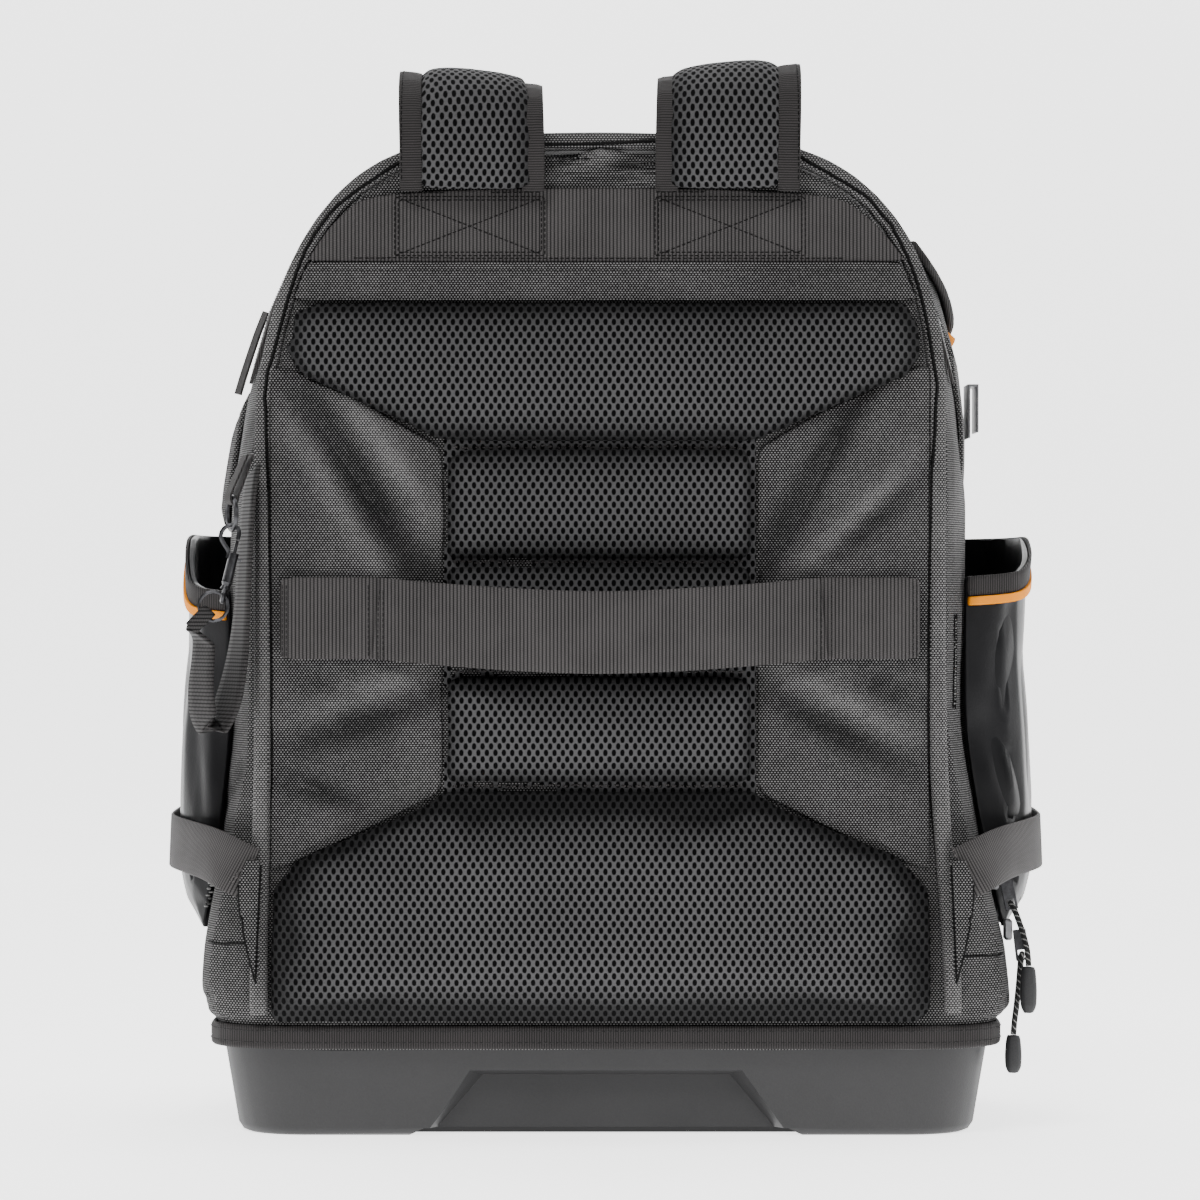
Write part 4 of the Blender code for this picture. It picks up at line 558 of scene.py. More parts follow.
def ripple(piece, size, height, seed):
    """Slow uneven waves over the cloth."""
    start = Vector((seed, seed, seed))
    points = points_of(piece)
    lift = np.array([noise.noise(Vector(place) + start) for place in points * (1 / size)])
    move_to(piece, points + normals_of(piece) * (lift * height)[:, None])


def surface(piece):
    """The outside of a piece, to lay other things on."""
    return BVHTree.FromPolygons([v.co.copy() for v in piece.data.vertices],
                                [tuple(face.vertices) for face in piece.data.polygons])


def hug(piece, node, share):
    """Draws a rounded copy back towards the solid it was cut from."""
    solid = surface(NODES[node])
    points = points_of(piece)
    near = np.array([solid.find_nearest(Vector(p))[0] for p in points])
    move_to(piece, points + (near - points) * share)


def grow(piece, amount, crown, foot=-0.1089):
    """Spreads the foot of a sewn-down piece over the panel and leaves its crown alone."""
    points = points_of(piece)
    share = np.clip((points[:, Y] - crown) / (foot - crown), 0, 1) * amount
    move_to(piece, points + normals_of(piece) * (1, 0, 1) * share[:, None])


def soften(piece, rounds):
    """Takes the facets out of a piece."""
    iron = piece.modifiers.new("iron", "SMOOTH")
    iron.factor = 0.5
    iron.iterations = rounds
    settle(piece)


def grow_all(piece, amount):
    """Swells the whole piece evenly, or shrinks it where the amount is below 0."""
    move_to(piece, points_of(piece) + normals_of(piece) * amount)


def draw_out(piece, left, right, reach=0.03):
    """Draws a piece's two ends out towards the piping."""
    points = points_of(piece)
    low, high = points[:, X].min(), points[:, X].max()
    points[:, X] -= left * np.clip(1 - (points[:, X] - low) / reach, 0, 1)
    points[:, X] += right * np.clip(1 - (high - points[:, X]) / reach, 0, 1)
    move_to(piece, points)


def draw_in(piece, moved, by, along, start, run, power=1.0):
    """Moves a piece back along one axis, by more and more as it passes a start along another."""
    points = points_of(piece)
    points[:, moved] -= by * np.clip((start - points[:, along]) / run, 0, 1) ** power
    move_to(piece, points)


def dress(node, slot, rounds=2, sharp=38, lay=lay_flat, folds=(), waves=None, smooth=HARD_ANGLE,
          close=0.0, shape=None, look=None):
    """The cloth piece that stands for a CAD node."""
    piece = refine(pattern(node, sharp), rounds)
    if close:
        hug(piece, node, close)
    if shape:
        shape(piece)
    if folds:
        press_folds(piece, folds)
    if waves:
        ripple(piece, *waves)
    lay(piece)
    finish_off(piece, slot, smooth, look)
    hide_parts(node)
    return piece


STUFF_VOXEL = 0.004
STUFF_FRAMES = 20
STUFF_PRESSURE = 4
PAD_SHARP = 70


def stuffed(node, swell, shape, lay, sewn_down=None):
    """A padded piece: the solid's form as a closed bag of mesh, blown up between its held edges."""
    piece = pattern(node)
    knit = piece.modifiers.new("knit", "REMESH")
    knit.mode = "VOXEL"
    knit.voxel_size = STUFF_VOXEL
    settle(piece)
    blow_up(piece, swell, sewn_down)
    piece.vertex_groups.clear()
    refine(piece, 1)
    shape(piece)
    lay(piece)
    finish_off(piece, "mesh_cloth", PAD_SHARP)
    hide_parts(node)
    return piece


def blow_up(piece, swell, sewn_down):
    """Fills a closed bag with air, held where it is sewn down. No point moves by more than swell."""
    scene = bpy.context.scene
    base = points_of(piece)
    held = piece.vertex_groups.new(name="held")
    hold = sewn_down(base) if sewn_down else np.zeros(len(base), bool)
    held.add([int(i) for i in np.nonzero(hold)[0]], 1.0, "REPLACE")
    cloth = piece.modifiers.new("stuffing", "CLOTH")
    cloth.settings.use_pressure = True
    cloth.settings.uniform_pressure_force = STUFF_PRESSURE
    cloth.settings.effector_weights.gravity = 0
    cloth.settings.vertex_group_mass = "held"
    for step in range(STUFF_FRAMES):
        scene.frame_set(step + 1)
    settle(piece)
    move = points_of(piece) - base
    reach = np.linalg.norm(move, axis=1)
    move *= np.minimum(1, swell / np.maximum(reach, NOTHING))[:, None]
    move_to(piece, base + move)
    scene.frame_set(1)


# Stitching and zip teeth

def trace(piece, centre, arms, outward=False):
    """Where lines drawn in to a centre, or out from it, meet a piece."""
    cloth = surface(piece)
    middle = Vector(centre)
    arms = [Vector(arm).normalized() for arm in arms]
    if outward:
        met = [cloth.ray_cast(middle, arm, 0.5)[0] for arm in arms]
    else:
        met = [cloth.ray_cast(middle + arm * 0.5, -arm, 0.5)[0] for arm in arms]
    return [place for place in met if place]


def paced(line, pitch):
    """Points at even steps along a line."""
    points = np.array([tuple(p) for p in line])
    lengths = lengths_along(points)
    marks = np.arange(0, lengths[-1], pitch)
    return [Vector([np.interp(mark, lengths, points[:, i]) for i in range(3)]) for mark in marks]


# How far along a stitch each ring of it lies, and how thick the stitch is there
STITCH_RINGS = ((-0.5, 0.35), (-0.32, 1.0), (0.32, 1.0), (0.5, 0.35))
RING = 4
STITCH_LIFT = 0.3


def add_stitch(points, faces, here, run, side, lift):
    """Adds one stitch, a short bar with blunt ends, as rings of four points."""
    first = len(points)
    for place, size in STITCH_RINGS:
        middle = here + run * place + lift * STITCH_LIFT
        points.extend(middle + arm * size for arm in (side, lift, -side, -lift))
    last = first + RING * (len(STITCH_RINGS) - 1)
    for at in range(first, last, RING):
        faces.extend((at + k, at + (k + 1) % RING, at + RING + (k + 1) % RING, at + RING + k)
                     for k in range(RING))
    faces.append(tuple(range(first + RING - 1, first - 1, -1)))
    faces.append(tuple(range(last, last + RING)))


def sew(name, lines, piece, pitch=0.0030, length=0.0021, thick=0.00055, across=None, slot="webbing",
        look=THREAD):
    """Rows of stitches on a cloth, or with across set, of teeth that lie over a line by turns."""
    cloth = surface(piece)
    points, faces = [], []
    for line in lines:
        marks = paced(line, pitch)
        for turn, (start, end) in enumerate(zip(marks, marks[1:])):
            here, facing = cloth.find_nearest((start + end) / 2)[:2]
            run = (end - start).normalized()
            if across is not None:
                run = run.cross(facing).normalized()
                here = here + run * (across if turn % 2 else -across)
            side = facing.cross(run).normalized() * thick / 2
            add_stitch(points, faces, here, run * length, side, facing * thick / 2)
    mesh = bpy.data.meshes.new(name)
    mesh.from_pydata(points, [], faces)
    finish_off(put(name, mesh), slot, look=look)


def sew_seam_and_shade(name, lines, piece, thick):
    """A near-black seam, of long stitches with hardly a gap between them; its dark thread also paints the
    shade of the groove it lies in.
    """
    sew(name, lines, piece, 0.0022, 0.0025, thick, look=SEAM_AND_SHADE_THREAD)


def set_teeth(name, lines, piece, length=0.0022, thick=0.0010, across=0.0006):
    """The teeth of a closed zip."""
    sew(name, lines, piece, 0.0013, length, thick, across, "bright_metal", ZIP_TEETH)


# Where a line is drawn in front of the back panel, before it is laid on a cloth
OVER_PANEL_Y = -0.125
MILLIMETRES = 1000


def on_back(*places):
    """A line on the back panel from x, z pairs in millimetres."""
    return [Vector((x / MILLIMETRES, OVER_PANEL_Y, z / MILLIMETRES)) for x, z in places]


def upright(x, y, low, high):
    """A line straight up."""
    return [Vector((x, y, low)), Vector((x, y, high))]


def fan(zero, quarter, first, last, count):
    """Directions spread evenly between two angles, counted from one direction towards another."""
    angles = np.linspace(first, last, count)
    return [Vector(zero) * math.cos(a) + Vector(quarter) * math.sin(a) for a in angles]


# Camera, backdrop and light

MIDDLE = Vector((0, 0, 0.25))


def soft_light(name, place, width, height, power):
    """A soft box that shines on the middle of the pack."""
    data = bpy.data.lights.new(name, "AREA")
    data.shape = "RECTANGLE"
    data.size = width
    data.size_y = height
    data.energy = power
    lamp = put(name, data)
    lamp.location = place
    lamp.rotation_euler = (MIDDLE - lamp.location).to_track_quat("-Z", "Y").to_euler()


def set_camera():
    data = bpy.data.cameras.new("camera")
    data.lens = LENS
    data.sensor_width = SENSOR
    camera = put("camera", data)
    camera.location = (CAMERA_X, BACK_Y - CAMERA_BACK, CAMERA_Z)
    camera.rotation_euler = (math.pi / 2, 0, 0)
    bpy.context.scene.camera = camera


# The backdrop: how wide it is, where its lit part starts, and the sweep up to its wall
BACKDROP_HALF = 6
BACKDROP_NEAR = -7
BACKDROP_LIT_FROM = -0.6
SWEEP_Y = 2.2
SWEEP_RADIUS = 1.2
SWEEP_STEPS = 9
SWEEP_FIRST = 0.15
WALL_TOP = 5


def set_backdrop():
    """One sheet of paper, flat on the floor and swept up behind the pack."""
    shape = bmesh.new()
    sweep = [(BACKDROP_NEAR, 0), (BACKDROP_LIT_FROM, 0), (SWEEP_Y, 0)]
    sweep += [(SWEEP_Y + SWEEP_RADIUS * math.sin(a), SWEEP_RADIUS - SWEEP_RADIUS * math.cos(a))
              for a in np.linspace(SWEEP_FIRST, math.pi / 2, SWEEP_STEPS)]
    sweep.append((SWEEP_Y + SWEEP_RADIUS, WALL_TOP))
    rows = [[shape.verts.new((x, y, z)) for x in (-BACKDROP_HALF, BACKDROP_HALF)] for y, z in sweep]
    for low, high in zip(rows, rows[1:]):
        shape.faces.new((low[0], low[1], high[1], high[0]))
    floor = from_bmesh("floor", shape)
    floor.data.shade_smooth()
    floor.data.materials.append(backdrop_paper("lit_paper", 2.2))
    floor.data.materials.append(backdrop_paper("paper", 0.25))
    floor.data.polygons[0].material_index = 1


def set_lights():
    world = bpy.data.worlds.new("studio")
    world.use_nodes = True
    world.node_tree.nodes["Background"].inputs["Color"].default_value = (1, 1, 1, 1)
    world.node_tree.nodes["Background"].inputs["Strength"].default_value = 0.16
    bpy.context.scene.world = world
    soft_light("key", (-0.6, -1.7, 2.0), 1.0, 0.7, 40)
    soft_light("fill", (1.3, -1.8, 1.0), 0.8, 1.0, 11)
    soft_light("top", (0.1, 0.1, 1.9), 1.2, 0.7, 18)
    soft_light("rim_left", (-1.5, 0.1, 0.8), 0.25, 0.9, 8)
    soft_light("rim_right", (1.5, 0.1, 0.8), 0.25, 0.9, 8)


# Cords of the lower zips

Leg = namedtuple("Leg", "x y z apart")
CORD_ROUTES = (
    (Leg(0.1993, -0.0825, 0.0785, 0.0014), Leg(0.1988, -0.0813, 0.0855, 0.0015),
     Leg(0.1972, -0.0782, 0.0930, 0.0019), Leg(0.1952, -0.0748, 0.0995, 0.0023),
     Leg(0.1932, -0.0720, 0.1050, 0.0026), Leg(0.1921, -0.0715, 0.1068, 0.0017),
     Leg(0.1918, -0.0715, 0.1075, 0.0)),
    (Leg(0.1928, -0.0740, 0.0455, 0.0014), Leg(0.1934, -0.0738, 0.0520, 0.0015),
     Leg(0.1946, -0.0732, 0.0610, 0.0018), Leg(0.1956, -0.0724, 0.0700, 0.0022),
     Leg(0.1966, -0.0716, 0.0810, 0.0026), Leg(0.1970, -0.0715, 0.0828, 0.0017),
     Leg(0.1971, -0.0715, 0.0835, 0.0)),
)
CORD_RADIUS = 0.0013
CORD_STEPS = 48
CORD_SIDES = 10


def smooth_path(points):
    """Points spread evenly in share along a Catmull-Rom curve through the given ones."""
    ends = [points[0] * 2 - points[1], *points, points[-1] * 2 - points[-2]]
    path = []
    for step in range(CORD_STEPS + 1):
        place = (len(points) - 1) * step / CORD_STEPS
        i = min(int(place), len(points) - 2)
        t = place - i
        a, b, c, d = ends[i:i + 4]
        path.append((b * 2 + (c - a) * t + (a * 2 - b * 5 + c * 4 - d) * t**2
                     + (b * 3 - a - c * 3 + d) * t**3) / 2)
    return path


def cord_rings(shape, path):
    """Rings of points round a path, and how far along it each ring is."""
    rings, marks = [], []
    turned = Vector((0.1, 1, 0.2))
    length = 0.0
    for i, place in enumerate(path):
        before = path[max(i - 1, 0)]
        along = (path[min(i + 1, len(path) - 1)] - before).normalized()
        turned = (turned - along * turned.dot(along)).normalized()
        other = along.cross(turned)
        length += (place - before).length
        angles = [2 * math.pi * k / CORD_SIDES for k in range(CORD_SIDES)]
        rings.append([shape.verts.new(place + (turned * math.cos(a) + other * math.sin(a)) * CORD_RADIUS)
                      for a in angles])
        marks.append(length)
    return rings, marks


def round_cord(name, path):
    """A round cord along a path, its braid laid on along it and round it, and its length."""
    shape = bmesh.new()
    rings, marks = cord_rings(shape, path)
    for ring, following in zip(rings, rings[1:]):
        for k in range(CORD_SIDES):
            n = (k + 1) % CORD_SIDES
            shape.faces.new((ring[k], ring[n], following[n], following[k]))
    shape.faces.new(rings[0][::-1])
    shape.faces.new(rings[-1])
    piece = from_bmesh(name, shape)
    values = []
    for face in piece.data.polygons:
        places = [divmod(piece.data.loops[c].vertex_index, CORD_SIDES) for c in face.loop_indices]
        turns = [k for ring, k in places]
        wraps = max(turns) - min(turns) > CORD_SIDES // 2
        for ring, k in places:
            k = k + CORD_SIDES if wraps and k < CORD_SIDES // 2 else k
            values.append((marks[ring], 2 * math.pi * CORD_RADIUS * k / CORD_SIDES, 0))
    write_lay(piece, np.array(values))
    return piece, marks[-1]


def make_cords():
    for number, legs in enumerate(CORD_ROUTES, 1):
        tip = dress(f"cord_tip_{number}", "tip_rubber", 3, sharp=100, close=0.35, smooth=180)
        far = [Vector((leg.x, leg.y + leg.apart, leg.z)) for leg in legs]
        near = [Vector((leg.x, leg.y - leg.apart, leg.z)) for leg in reversed(legs[:-1])]
        path = smooth_path(far + near)
        cord, length = round_cord(f"zip_cord_{number}_braid", path)
        finish_off(cord, "cord", sharp=60)
        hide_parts(f"zip_cord_{number}")


# Hardware that keeps its CAD shape

def smoothing_group():
    """Welds a faceted solid and shades it smooth, with its real edges kept hard."""
    group = bpy.data.node_groups.new("polish", "GeometryNodeTree")
    group.interface.new_socket("Geometry", in_out="INPUT", socket_type="NodeSocketGeometry")
    group.interface.new_socket("Geometry", in_out="OUTPUT", socket_type="NodeSocketGeometry")
    add = group.nodes.new
    start, end = add("NodeGroupInput"), add("NodeGroupOutput")
    bare = add("GeometryNodeRemoveAttribute")
    bare.inputs["Name"].default_value = "custom_normal"
    weld = add("GeometryNodeMergeByDistance")
    weld.inputs["Distance"].default_value = WELD
    smooth, hard = add("GeometryNodeSetShadeSmooth"), add("GeometryNodeSetShadeSmooth")
    hard.domain = "EDGE"
    hard.inputs["Shade Smooth"].default_value = False
    angle, past = add("GeometryNodeInputMeshEdgeAngle"), add("FunctionNodeCompare")
    past.inputs[1].default_value = math.radians(HARD_ANGLE)
    link = group.links.new
    link(start.outputs[0], bare.inputs[0])
    link(bare.outputs[0], weld.inputs[0])
    link(weld.outputs[0], smooth.inputs[0])
    link(smooth.outputs[0], hard.inputs[0])
    link(angle.outputs[0], past.inputs[0])
    link(past.outputs[0], hard.inputs["Selection"])
    link(hard.outputs[0], end.inputs[0])
    return group


POLISH = smoothing_group()


def keep_hard(node, slot, bevel=0.0):
    """A CAD node that stays, with its own finish, softened edges and smooth shading."""
    thing = NODES[node]
    thing.data.materials.clear()
    thing.data.materials.append(LOOKS[slot])
    polish = thing.modifiers.new("polish", "NODES")
    polish.node_group = POLISH
    if bevel:
        edges = thing.modifiers.new("edges", "BEVEL")
        edges.width = bevel
        edges.segments = 3
        edges.limit_method = "ANGLE"
        edges.angle_limit = math.radians(HARD_ANGLE)
        edges.harden_normals = True


# The tub and the body

BINDING_ROWS = (0.0447, 0.0500)


def make_tub():
    keep_hard("base_tub", "base_plastic", 0.0012)
    tape = dress("base_binding", "binding_tape", 3, sharp=100, close=0.75)
    arms = fan(RIGHT, FRONT, 0, 2 * math.pi, 720)
    sew("binding_stitches", [trace(tape, (0, 0, z), arms) for z in BINDING_ROWS], tape)


TOP_FOLDS = creases(
    -0.109,
    (-0.028, 0.466, -0.004, 0.446, 0.0036, 0.0018),
    (-0.022, 0.449, 0.006, 0.463, 0.0036, -0.0030),
    (0.002, 0.446, 0.022, 0.462, 0.0036, 0.0016),
    (0.012, 0.444, 0.034, 0.460, 0.0040, -0.0022),
)
GUSSET_FOLDS = (
    Fold((0.170, -0.096, 0.262), (0.176, -0.060, 0.205), 0.0050, 0.0022),
    Fold((0.172, -0.100, 0.215), (0.180, -0.070, 0.180), 0.0045, 0.0016),
    Fold((-0.172, -0.100, 0.180), (-0.178, -0.060, 0.150), 0.0050, 0.0020),
    Fold((-0.165, -0.098, 0.340), (-0.170, -0.050, 0.300), 0.0060, 0.0018),
)

# The body's seams: two beside the right gusset's zip, and one round each foot corner
GUSSET_X = 0.176
GUSSET_ZIP_Y = -0.086
GUSSET_SEAMS_Y = (-0.0835, -0.0885)
FOOT_SEAM = ((0.192, -0.086), (0.186, -0.104), (0.166, -0.112))
FOOT_SEAM_Z = {"left": 0.091, "right": 0.085}

# The piping's roll and the painted highlight on its front, and the fans that its seam and the main zip
# follow
ROLL_FRONT = 0.002
ROLL_RUN = 0.005
ROLL_PAINTED_HIGHLIGHT = 0.9
PANEL_MIDDLE_Z = 0.25
PIPING_TURN = 2.45
ZIP_TURN = 1.2
ZIP_Y = -0.080

# Box stitches on the top webbing, in millimetres on the back panel
BAND_BOXES = ((-98.5, -28.5), (22.9, 92.9))
BAND_BOX_LOW = 411.5
BAND_BOX_HIGH = 439
BAND_BOX_INSET = 1.6
BAND_BAR_Z = 441.2
BAND_BAR_LEFT = 23.4
BAND_BAR_RIGHT = 25.6
BAND_ROW = ((-118, 410.3), (113, 410.3))
FLAP_ROW = ((-142, 404.5), (138, 404.5))


def ease_body(piece):
    soften(piece, 5)
    grow_all(piece, 0.0004)


def body_seams():
    seams = [upright(GUSSET_X, y, 0.200, 0.2455) for y in GUSSET_SEAMS_Y]
    for side, sign in SIDES:
        seams.append([Vector((sign * x, y, FOOT_SEAM_Z[side])) for x, y in FOOT_SEAM])
    return seams


def band_lines():
    """Two double boxes, each with a cross in it and two bars over it, and the row along the band's foot."""
    low, high = BAND_BOX_LOW, BAND_BOX_HIGH
    lines = []
    for left, right in BAND_BOXES:
        for inset in (0, BAND_BOX_INSET):
            corners = [(left + inset, low + inset), (right - inset, low + inset),
                       (right - inset, high - inset), (left + inset, high - inset)]
            lines.append(on_back(*corners, corners[0]))
        lines += [on_back((left, low), (right, high)), on_back((left, high), (right, low)),
                  on_back((left, BAND_BAR_Z), (left + BAND_BAR_LEFT, BAND_BAR_Z)),
                  on_back((right - BAND_BAR_RIGHT, BAND_BAR_Z), (right, BAND_BAR_Z))]
    return lines + [on_back(*BAND_ROW)]


def make_body():
    body = dress("body_shell", "ballistic_cloth", 3, sharp=60, close=1.0, shape=ease_body,
                 folds=TOP_FOLDS + GUSSET_FOLDS, waves=(0.05, 0.0008, 3.0))
    sew_seam_and_shade("gusset_seams", body_seams(), body, 0.0012)
    set_teeth("gusset_zip_teeth", [upright(GUSSET_X, GUSSET_ZIP_Y, 0.202, 0.2435)], body)
    make_piping()
    band = dress("top_webbing_band", "webbing", 3, shape=partial(draw_out, left=0.0033, right=0.0090))
    flap = dress("top_flap", "ballistic_cloth", 3, close=0.5,
                 shape=partial(draw_out, left=0.0025, right=0.0072))
    sew("flap_stitches", [on_back(*FLAP_ROW)], flap)
    sew("band_stitches", band_lines(), band, pitch=0.0026, length=0.0020, look=DARK_THREAD)
    zip_tape = dress("main_zip", "binding_tape", 3, sharp=60, close=0.9)
    teeth = trace(zip_tape, (0, ZIP_Y, PANEL_MIDDLE_Z), fan(UP, RIGHT, -ZIP_TURN, ZIP_TURN, 300))
    set_teeth("main_zip_teeth", [teeth], zip_tape, length=0.0026, thick=0.0011, across=0.0009)
    dress("front_pocket", "ballistic_cloth", 3, sharp=60, close=1.0,
          shape=partial(draw_in, moved=Y, by=0.0016, along=Y, start=0.085, run=0.010))
    dress("far_compartment_left", "ballistic_cloth", 2, sharp=60, close=0.7)


def make_piping():
    """The roll of cloth round the back panel, with a painted highlight on its front, and the near-black
    seam at its inner side, which also paints the shade of the groove there.
    """
    piping = dress("back_piping", "ballistic_cloth", 2, sharp=80, smooth=180, close=0.6,
                   waves=(0.03, 0.0003, 9.0))
    # Painted highlight on the front of the roll
    front = np.clip((BACK_Y + ROLL_FRONT - points_of(piping)[:, Y]) / ROLL_RUN, 0, 1)
    paint_shading(piping, front * ROLL_PAINTED_HIGHLIGHT)
    arms = fan(UP, RIGHT, -PIPING_TURN, PIPING_TURN, 700)
    seam = trace(piping, (0, BACK_Y - ROLL_FRONT, PANEL_MIDDLE_Z), arms, outward=True)
    sew_seam_and_shade("piping_seam_and_shade", [seam], piping, 0.0017)


# The pads and the cloth beside them

# Each pad's swelling, and how far its left and right ends are drawn out
PADS = {
    "pad_upper": (0.004, 0.0040, 0.0080),
    "pad_rung_1": (0.002, 0, 0),
    "pad_rung_2": (0.002, 0, 0),
    "pad_rung_3": (0.002, 0, 0),
    "pad_lower": (0.005, 0.0010, 0.0010),
}
PAD_CROWN_Y = -0.1180
WING_CROWN_Y = -0.1134
WING_SPREAD = 0.0014
WING_EDGE_X = 0.130
WING_EDGE_RUN = 0.012
WING_FLAT_Y = -0.1100
WING_FLATTEN = 0.75
PAD_SEWN = 0.0035
# How deep below a pad's top its painted shade is full, and how sharply painted shade comes on at pad and
# strap edges
PAD_SHADE_DEPTH = 0.011
EDGE_SHADE = 1.5

PAD_FOLDS = {
    "pad_upper": (Fold((-0.070, -0.115, 0.330), (-0.052, -0.118, 0.338), 0.0030, 0.0010),
                  Fold((0.064, -0.115, 0.330), (0.046, -0.118, 0.338), 0.0030, 0.0010)),
    "pad_lower": (Fold((-0.128, -0.118, 0.140), (-0.104, -0.122, 0.132), 0.0040, 0.0014),
                  Fold((0.124, -0.118, 0.140), (0.100, -0.122, 0.132), 0.0040, 0.0014)),
}

WING_FOLDS = {
    "left": creases(
        -0.113,
        (-0.147, 0.358, -0.079, 0.250, 0.0080, 0.0030),
        (-0.126, 0.356, -0.074, 0.280, 0.0075, -0.0022),
        (-0.152, 0.340, -0.100, 0.258, 0.0070, -0.0018),
        (-0.150, 0.182, -0.074, 0.207, 0.0065, 0.0026),
        (-0.150, 0.196, -0.078, 0.219, 0.0065, -0.0018),
        (-0.158, 0.216, -0.128, 0.209, 0.0035, 0.0020),
        (-0.158, 0.171, -0.116, 0.156, 0.0055, 0.0026),
    ),
    "right": creases(
        -0.113,
        (0.062, 0.250, 0.126, 0.358, 0.0065, 0.0030),
        (0.080, 0.250, 0.146, 0.322, 0.0065, -0.0022),
        (0.088, 0.258, 0.144, 0.304, 0.0048, 0.0026),
        (0.074, 0.208, 0.142, 0.172, 0.0065, 0.0028),
        (0.078, 0.220, 0.146, 0.186, 0.0060, -0.0020),
        (0.118, 0.216, 0.150, 0.200, 0.0040, 0.0020),
    ),
}


def back_held(points):
    """The part of a pad that is sewn down to the panel."""
    return points[:, Y] > BACK_Y - PAD_SEWN


def fit_pad(piece, left, right, folds):
    """Spreads a pad over the panel, folds it, and paints shade on it towards its sewn edge."""
    grow(piece, 0.0016, PAD_CROWN_Y)
    draw_out(piece, left, right, reach=0.05)
    press_folds(piece, folds)
    ripple(piece, 0.018, 0.0005, 5.0)
    # Painted shade: the further a point lies back from the pad's top, the darker
    depth = points_of(piece)[:, Y]
    paint_shading(piece, -np.clip((depth - depth.min()) / PAD_SHADE_DEPTH, 0, 1) ** EDGE_SHADE)


def fit_wing(piece, sign):
    """Spreads a wing over the panel and lays its outer edge down beside the piping."""
    grow(piece, WING_SPREAD, WING_CROWN_Y)
    points = points_of(piece)
    out = np.clip((np.abs(points[:, X]) - WING_EDGE_X) / WING_EDGE_RUN, 0, 1)
    points[:, X] += sign * WING_SPREAD * out
    points[:, Y] += np.clip(WING_FLAT_Y - points[:, Y], 0, 1) * out * WING_FLATTEN
    move_to(piece, points)


# The lining that shows between the mesh rungs, and its rows of stitches in millimetres
LINING_LEFT, LINING_RIGHT = -0.0755, 0.0700
LINING_LOW, LINING_HIGH = 0.160, 0.326
LINING_OFF = 0.0006
LINING_CUTS = 40
CHANNEL_LEFT, CHANNEL_RIGHT = -72, 66
CHANNEL_ROWS = (322.2, 268.7, 217.7, 164.3)


def make_lining():
    shape = bmesh.new()
    corners = ((LINING_LEFT, LINING_LOW), (LINING_RIGHT, LINING_LOW),
               (LINING_RIGHT, LINING_HIGH), (LINING_LEFT, LINING_HIGH))
    shape.faces.new([shape.verts.new((x, BACK_Y - LINING_OFF, z)) for x, z in corners])
    bmesh.ops.subdivide_edges(shape, edges=shape.edges, cuts=LINING_CUTS, use_grid_fill=True)
    lining = from_bmesh("pad_channels", shape)
    ripple(lining, 0.006, 0.0002, 1.0)
    lay_flat(lining)
    finish_off(lining, "mesh_cloth")
    rows = [on_back((CHANNEL_LEFT, z), (CHANNEL_RIGHT, z)) for z in CHANNEL_ROWS]
    sew("channel_stitches", rows, lining, pitch=0.0034, length=0.0023, thick=0.0009, look=PALE_THREAD)


def make_pads():
    for node, (swell, left, right) in PADS.items():
        fit = partial(fit_pad, left=left, right=right, folds=PAD_FOLDS.get(node, ()))
        stuffed(node, swell, fit, partial(lay_flat, to_back=PAD_TO_BACK), back_held)
    for side, sign in SIDES:
        dress(f"wing_{side}", "ballistic_cloth", 4, shape=partial(fit_wing, sign=sign),
              folds=WING_FOLDS[side], waves=(0.04, 0.0006, 7.0))
    make_lining()


# The straps

# The middle that each strap goes round, and how a shoulder strap is filled, bound and sewn, and how far in
# from its edges painted shade darkens it
STRAP_X = 0.075
STRAP_Z = 0.30
BELT_X = 0.10
BELT_Z = 0.15
STRAP_DRAW = 0.0071
STRAP_DRAW_MORE = 0.0021
STRAP_EDGE_FROM = 0.62
STRAP_EDGE_SHADE = 0.9
STRAP_SEAM_IN = 0.0030
STRAP_TURN = (0.35, 2.6)
BOUND_INWARD = {"inner": 0.0, "outer": 0.0017}

# Rows of stitches at the straps' sewn ends, in millimetres on the back panel
ANCHOR_SEAMS = (((160.0, 128), (162.5, 72)), ((171.5, 119), (163.5, 72)))
WEBBING_END = {"left": ((-160.5, 130.0), (-174.0, 119.5)), "right": ((156.0, 138.5), (165.5, 120.0))}
WEBBING_ROWS = (1.2, 3.0)
PATCH_ROWS = {"left": (-150.6, -148.8, -110.6), "right": (144.8, 143.0, 105.0)}
HANDLE_ROWS = (-106.2, -104.2, 98.4, 100.4)


def fill_strap(piece, sign):
    """Fills a shoulder strap out to its bindings and paints shade on it beside them."""
    draw_out(piece, STRAP_DRAW - sign * STRAP_DRAW_MORE, STRAP_DRAW + sign * STRAP_DRAW_MORE, reach=0.022)
    # Painted shade on the outer share of the strap, beside its bindings
    across = points_of(piece)[:, X]
    share = np.abs(across - (across.min() + across.max()) / 2) / np.ptp(across) * 2
    edge = np.clip((share - STRAP_EDGE_FROM) / (1 - STRAP_EDGE_FROM), 0, 1)
    paint_shading(piece, -edge ** EDGE_SHADE * STRAP_EDGE_SHADE)


def bind_edge(piece, shift):
    """Swells a binding and moves it over the strap's edge."""
    grow_all(piece, 0.0004)
    points = points_of(piece)
    points[:, X] -= shift
    move_to(piece, points)


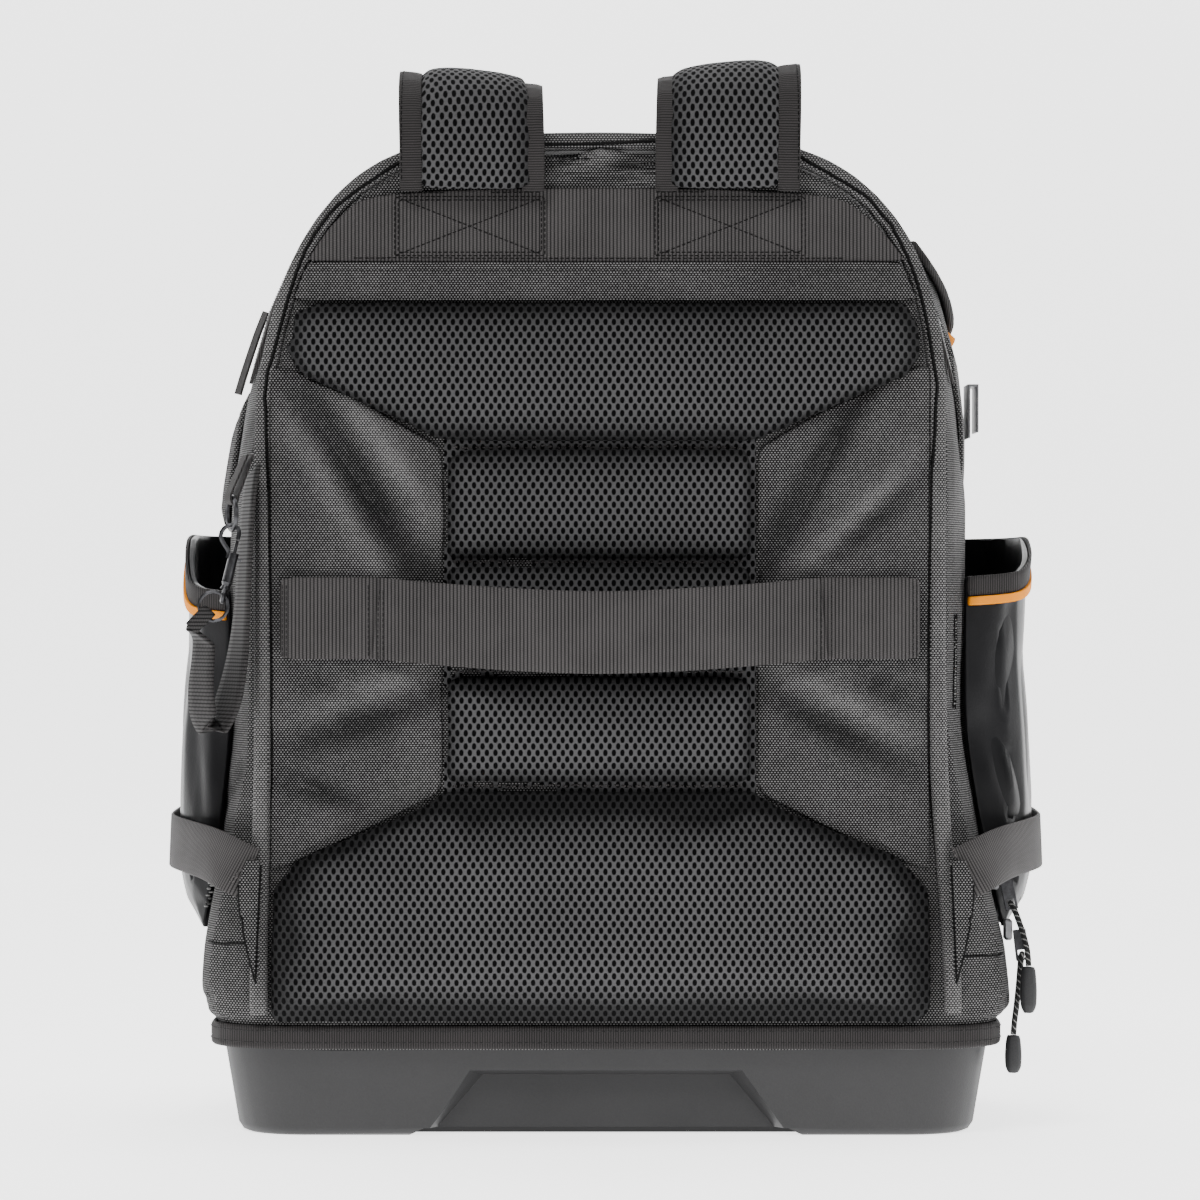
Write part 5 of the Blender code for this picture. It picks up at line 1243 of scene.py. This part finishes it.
def sew_binding(name, strap, binding):
    """A row of stitches on the half of a binding that lies towards the strap's middle."""
    across = [v.co.x for v in strap.data.vertices]
    middle = sum(v.co.x for v in binding.data.vertices) / len(binding.data.vertices)
    x = middle + math.copysign(STRAP_SEAM_IN, (min(across) + max(across)) / 2 - middle)
    row = trace(binding, (x, 0.0, STRAP_Z), fan(BACK, UP, *STRAP_TURN, 200))
    sew(name, [row], binding, look=SEAM_AND_SHADE_THREAD)


def make_strap(side, sign):
    """One side's shoulder strap, low webbing, anchor and handle patch."""
    middle = (sign * STRAP_X, 0.0, STRAP_Z)
    strap = stuffed(f"shoulder_strap_{side}", 0.001, partial(fill_strap, sign=sign),
                    partial(lay_wound, centre=middle, turned=True))
    bindings = {edge: dress(f"strap_edge_{side}_{edge}", "binding_tape", 2, sharp=60, close=0.9,
                            lay=partial(lay_wound, centre=middle),
                            shape=partial(bind_edge, shift=sign * inward))
                for edge, inward in BOUND_INWARD.items()}
    keep_hard(f"ladder_lock_{side}", "base_plastic", 0.0005)
    belt = dress(f"lower_webbing_{side}", "webbing", 2,
                 lay=partial(lay_belt, centre=(sign * BELT_X, 0.0, BELT_Z)))
    anchor = dress(f"strap_anchor_{side}", "ballistic_cloth", 3, close=0.5)
    seams = [on_back(*((sign * x, z) for x, z in line)) for line in ANCHOR_SEAMS]
    sew_seam_and_shade(f"anchor_seams_{side}", seams, anchor, 0.0011)
    rows = [on_back(*((x + sign * step, z + step / 2) for x, z in WEBBING_END[side]))
            for step in WEBBING_ROWS]
    sew(f"webbing_stitches_{side}", rows, belt, pitch=0.0024, length=0.0018, look=PALE_THREAD)
    patch = dress(f"handle_patch_{side}", "webbing", 3)
    rows = [on_back((x, 224.5), (x, 260.5)) for x in PATCH_ROWS[side]]
    sew(f"patch_stitches_{side}", rows, patch, pitch=0.0026)
    for edge, binding in bindings.items():
        sew_binding(f"strap_stitches_{side}_{edge}", strap, binding)


def make_straps():
    for side, sign in SIDES:
        make_strap(side, sign)
    handle = dress("handle_strap", "webbing", 3)
    sew("handle_stitches", [on_back((x, 222), (x, 258)) for x in HANDLE_ROWS], handle, pitch=0.0026)


# The side pockets

POCKET_FOLDS = {
    "left": (Fold((-0.200, -0.055, 0.225), (-0.196, -0.058, 0.150), 0.0075, 0.0024),
             Fold((-0.203, -0.030, 0.240), (-0.203, -0.020, 0.160), 0.0100, 0.0024),
             Fold((-0.190, -0.062, 0.196), (-0.184, -0.062, 0.120), 0.0060, -0.0016)),
    "right": (Fold((0.203, -0.052, 0.262), (0.187, -0.062, 0.196), 0.0080, 0.0022),
              Fold((0.184, -0.060, 0.190), (0.200, -0.052, 0.146), 0.0075, 0.0022),
              Fold((0.203, -0.030, 0.220), (0.203, -0.030, 0.140), 0.0100, 0.0018)),
}

POCKET_ZIP = (-0.1862, -0.090, 0.105, 0.1227)


def make_pockets():
    pockets = {}
    for side, folds in POCKET_FOLDS.items():
        pockets[side] = dress(f"side_pocket_{side}", "tarpaulin", 3, sharp=60, close=0.8, folds=folds,
                              waves=(0.045, 0.0012, 2.0))
        dress(f"pocket_binding_{side}", "binding_tape", 2)
        dress(f"pocket_piping_{side}", "yellow_piping", 2)
    set_teeth("pocket_zip_teeth", [upright(*POCKET_ZIP)], pockets["left"])
    dress("upper_pocket_right", "ballistic_cloth", 3, sharp=60, close=1.0,
          shape=partial(draw_in, moved=X, by=0.0045, along=Z, start=0.338, run=0.040, power=1.5))
    dress("upper_pocket_binding", "binding_tape", 2, close=0.8, shape=partial(grow_all, amount=0.0012))
    dress("upper_pocket_piping", "yellow_piping", 2,
          shape=partial(draw_in, moved=X, by=0.0085, along=Z, start=0.3785, run=-0.006))


# The metal, the pulls and the key strap

def make_hardware():
    keep_hard("tape_clip", "bright_metal", 0.0003)
    for node in ("tab_ring", "split_ring", "snap_hook", "snap_bolt", "swivel_eye"):
        keep_hard(node, "black_metal")
    for number in (1, 2):
        keep_hard(f"zip_slider_{number}", "bright_metal", 0.0004)
        keep_hard(f"zip_pull_{number}", "black_metal")
    dress("key_tab", "binding_tape", 1)
    dress("key_strap", "webbing", 2, lay=lay_hanging, look=KEY_WEBBING)
    dress("zip_pull_left", "binding_tape", 3, close=0.5, shape=partial(grow_all, amount=-0.0006))


set_camera()
set_backdrop()
set_lights()
make_cords()
make_tub()
make_body()
make_pads()
make_straps()
make_pockets()
make_hardware()
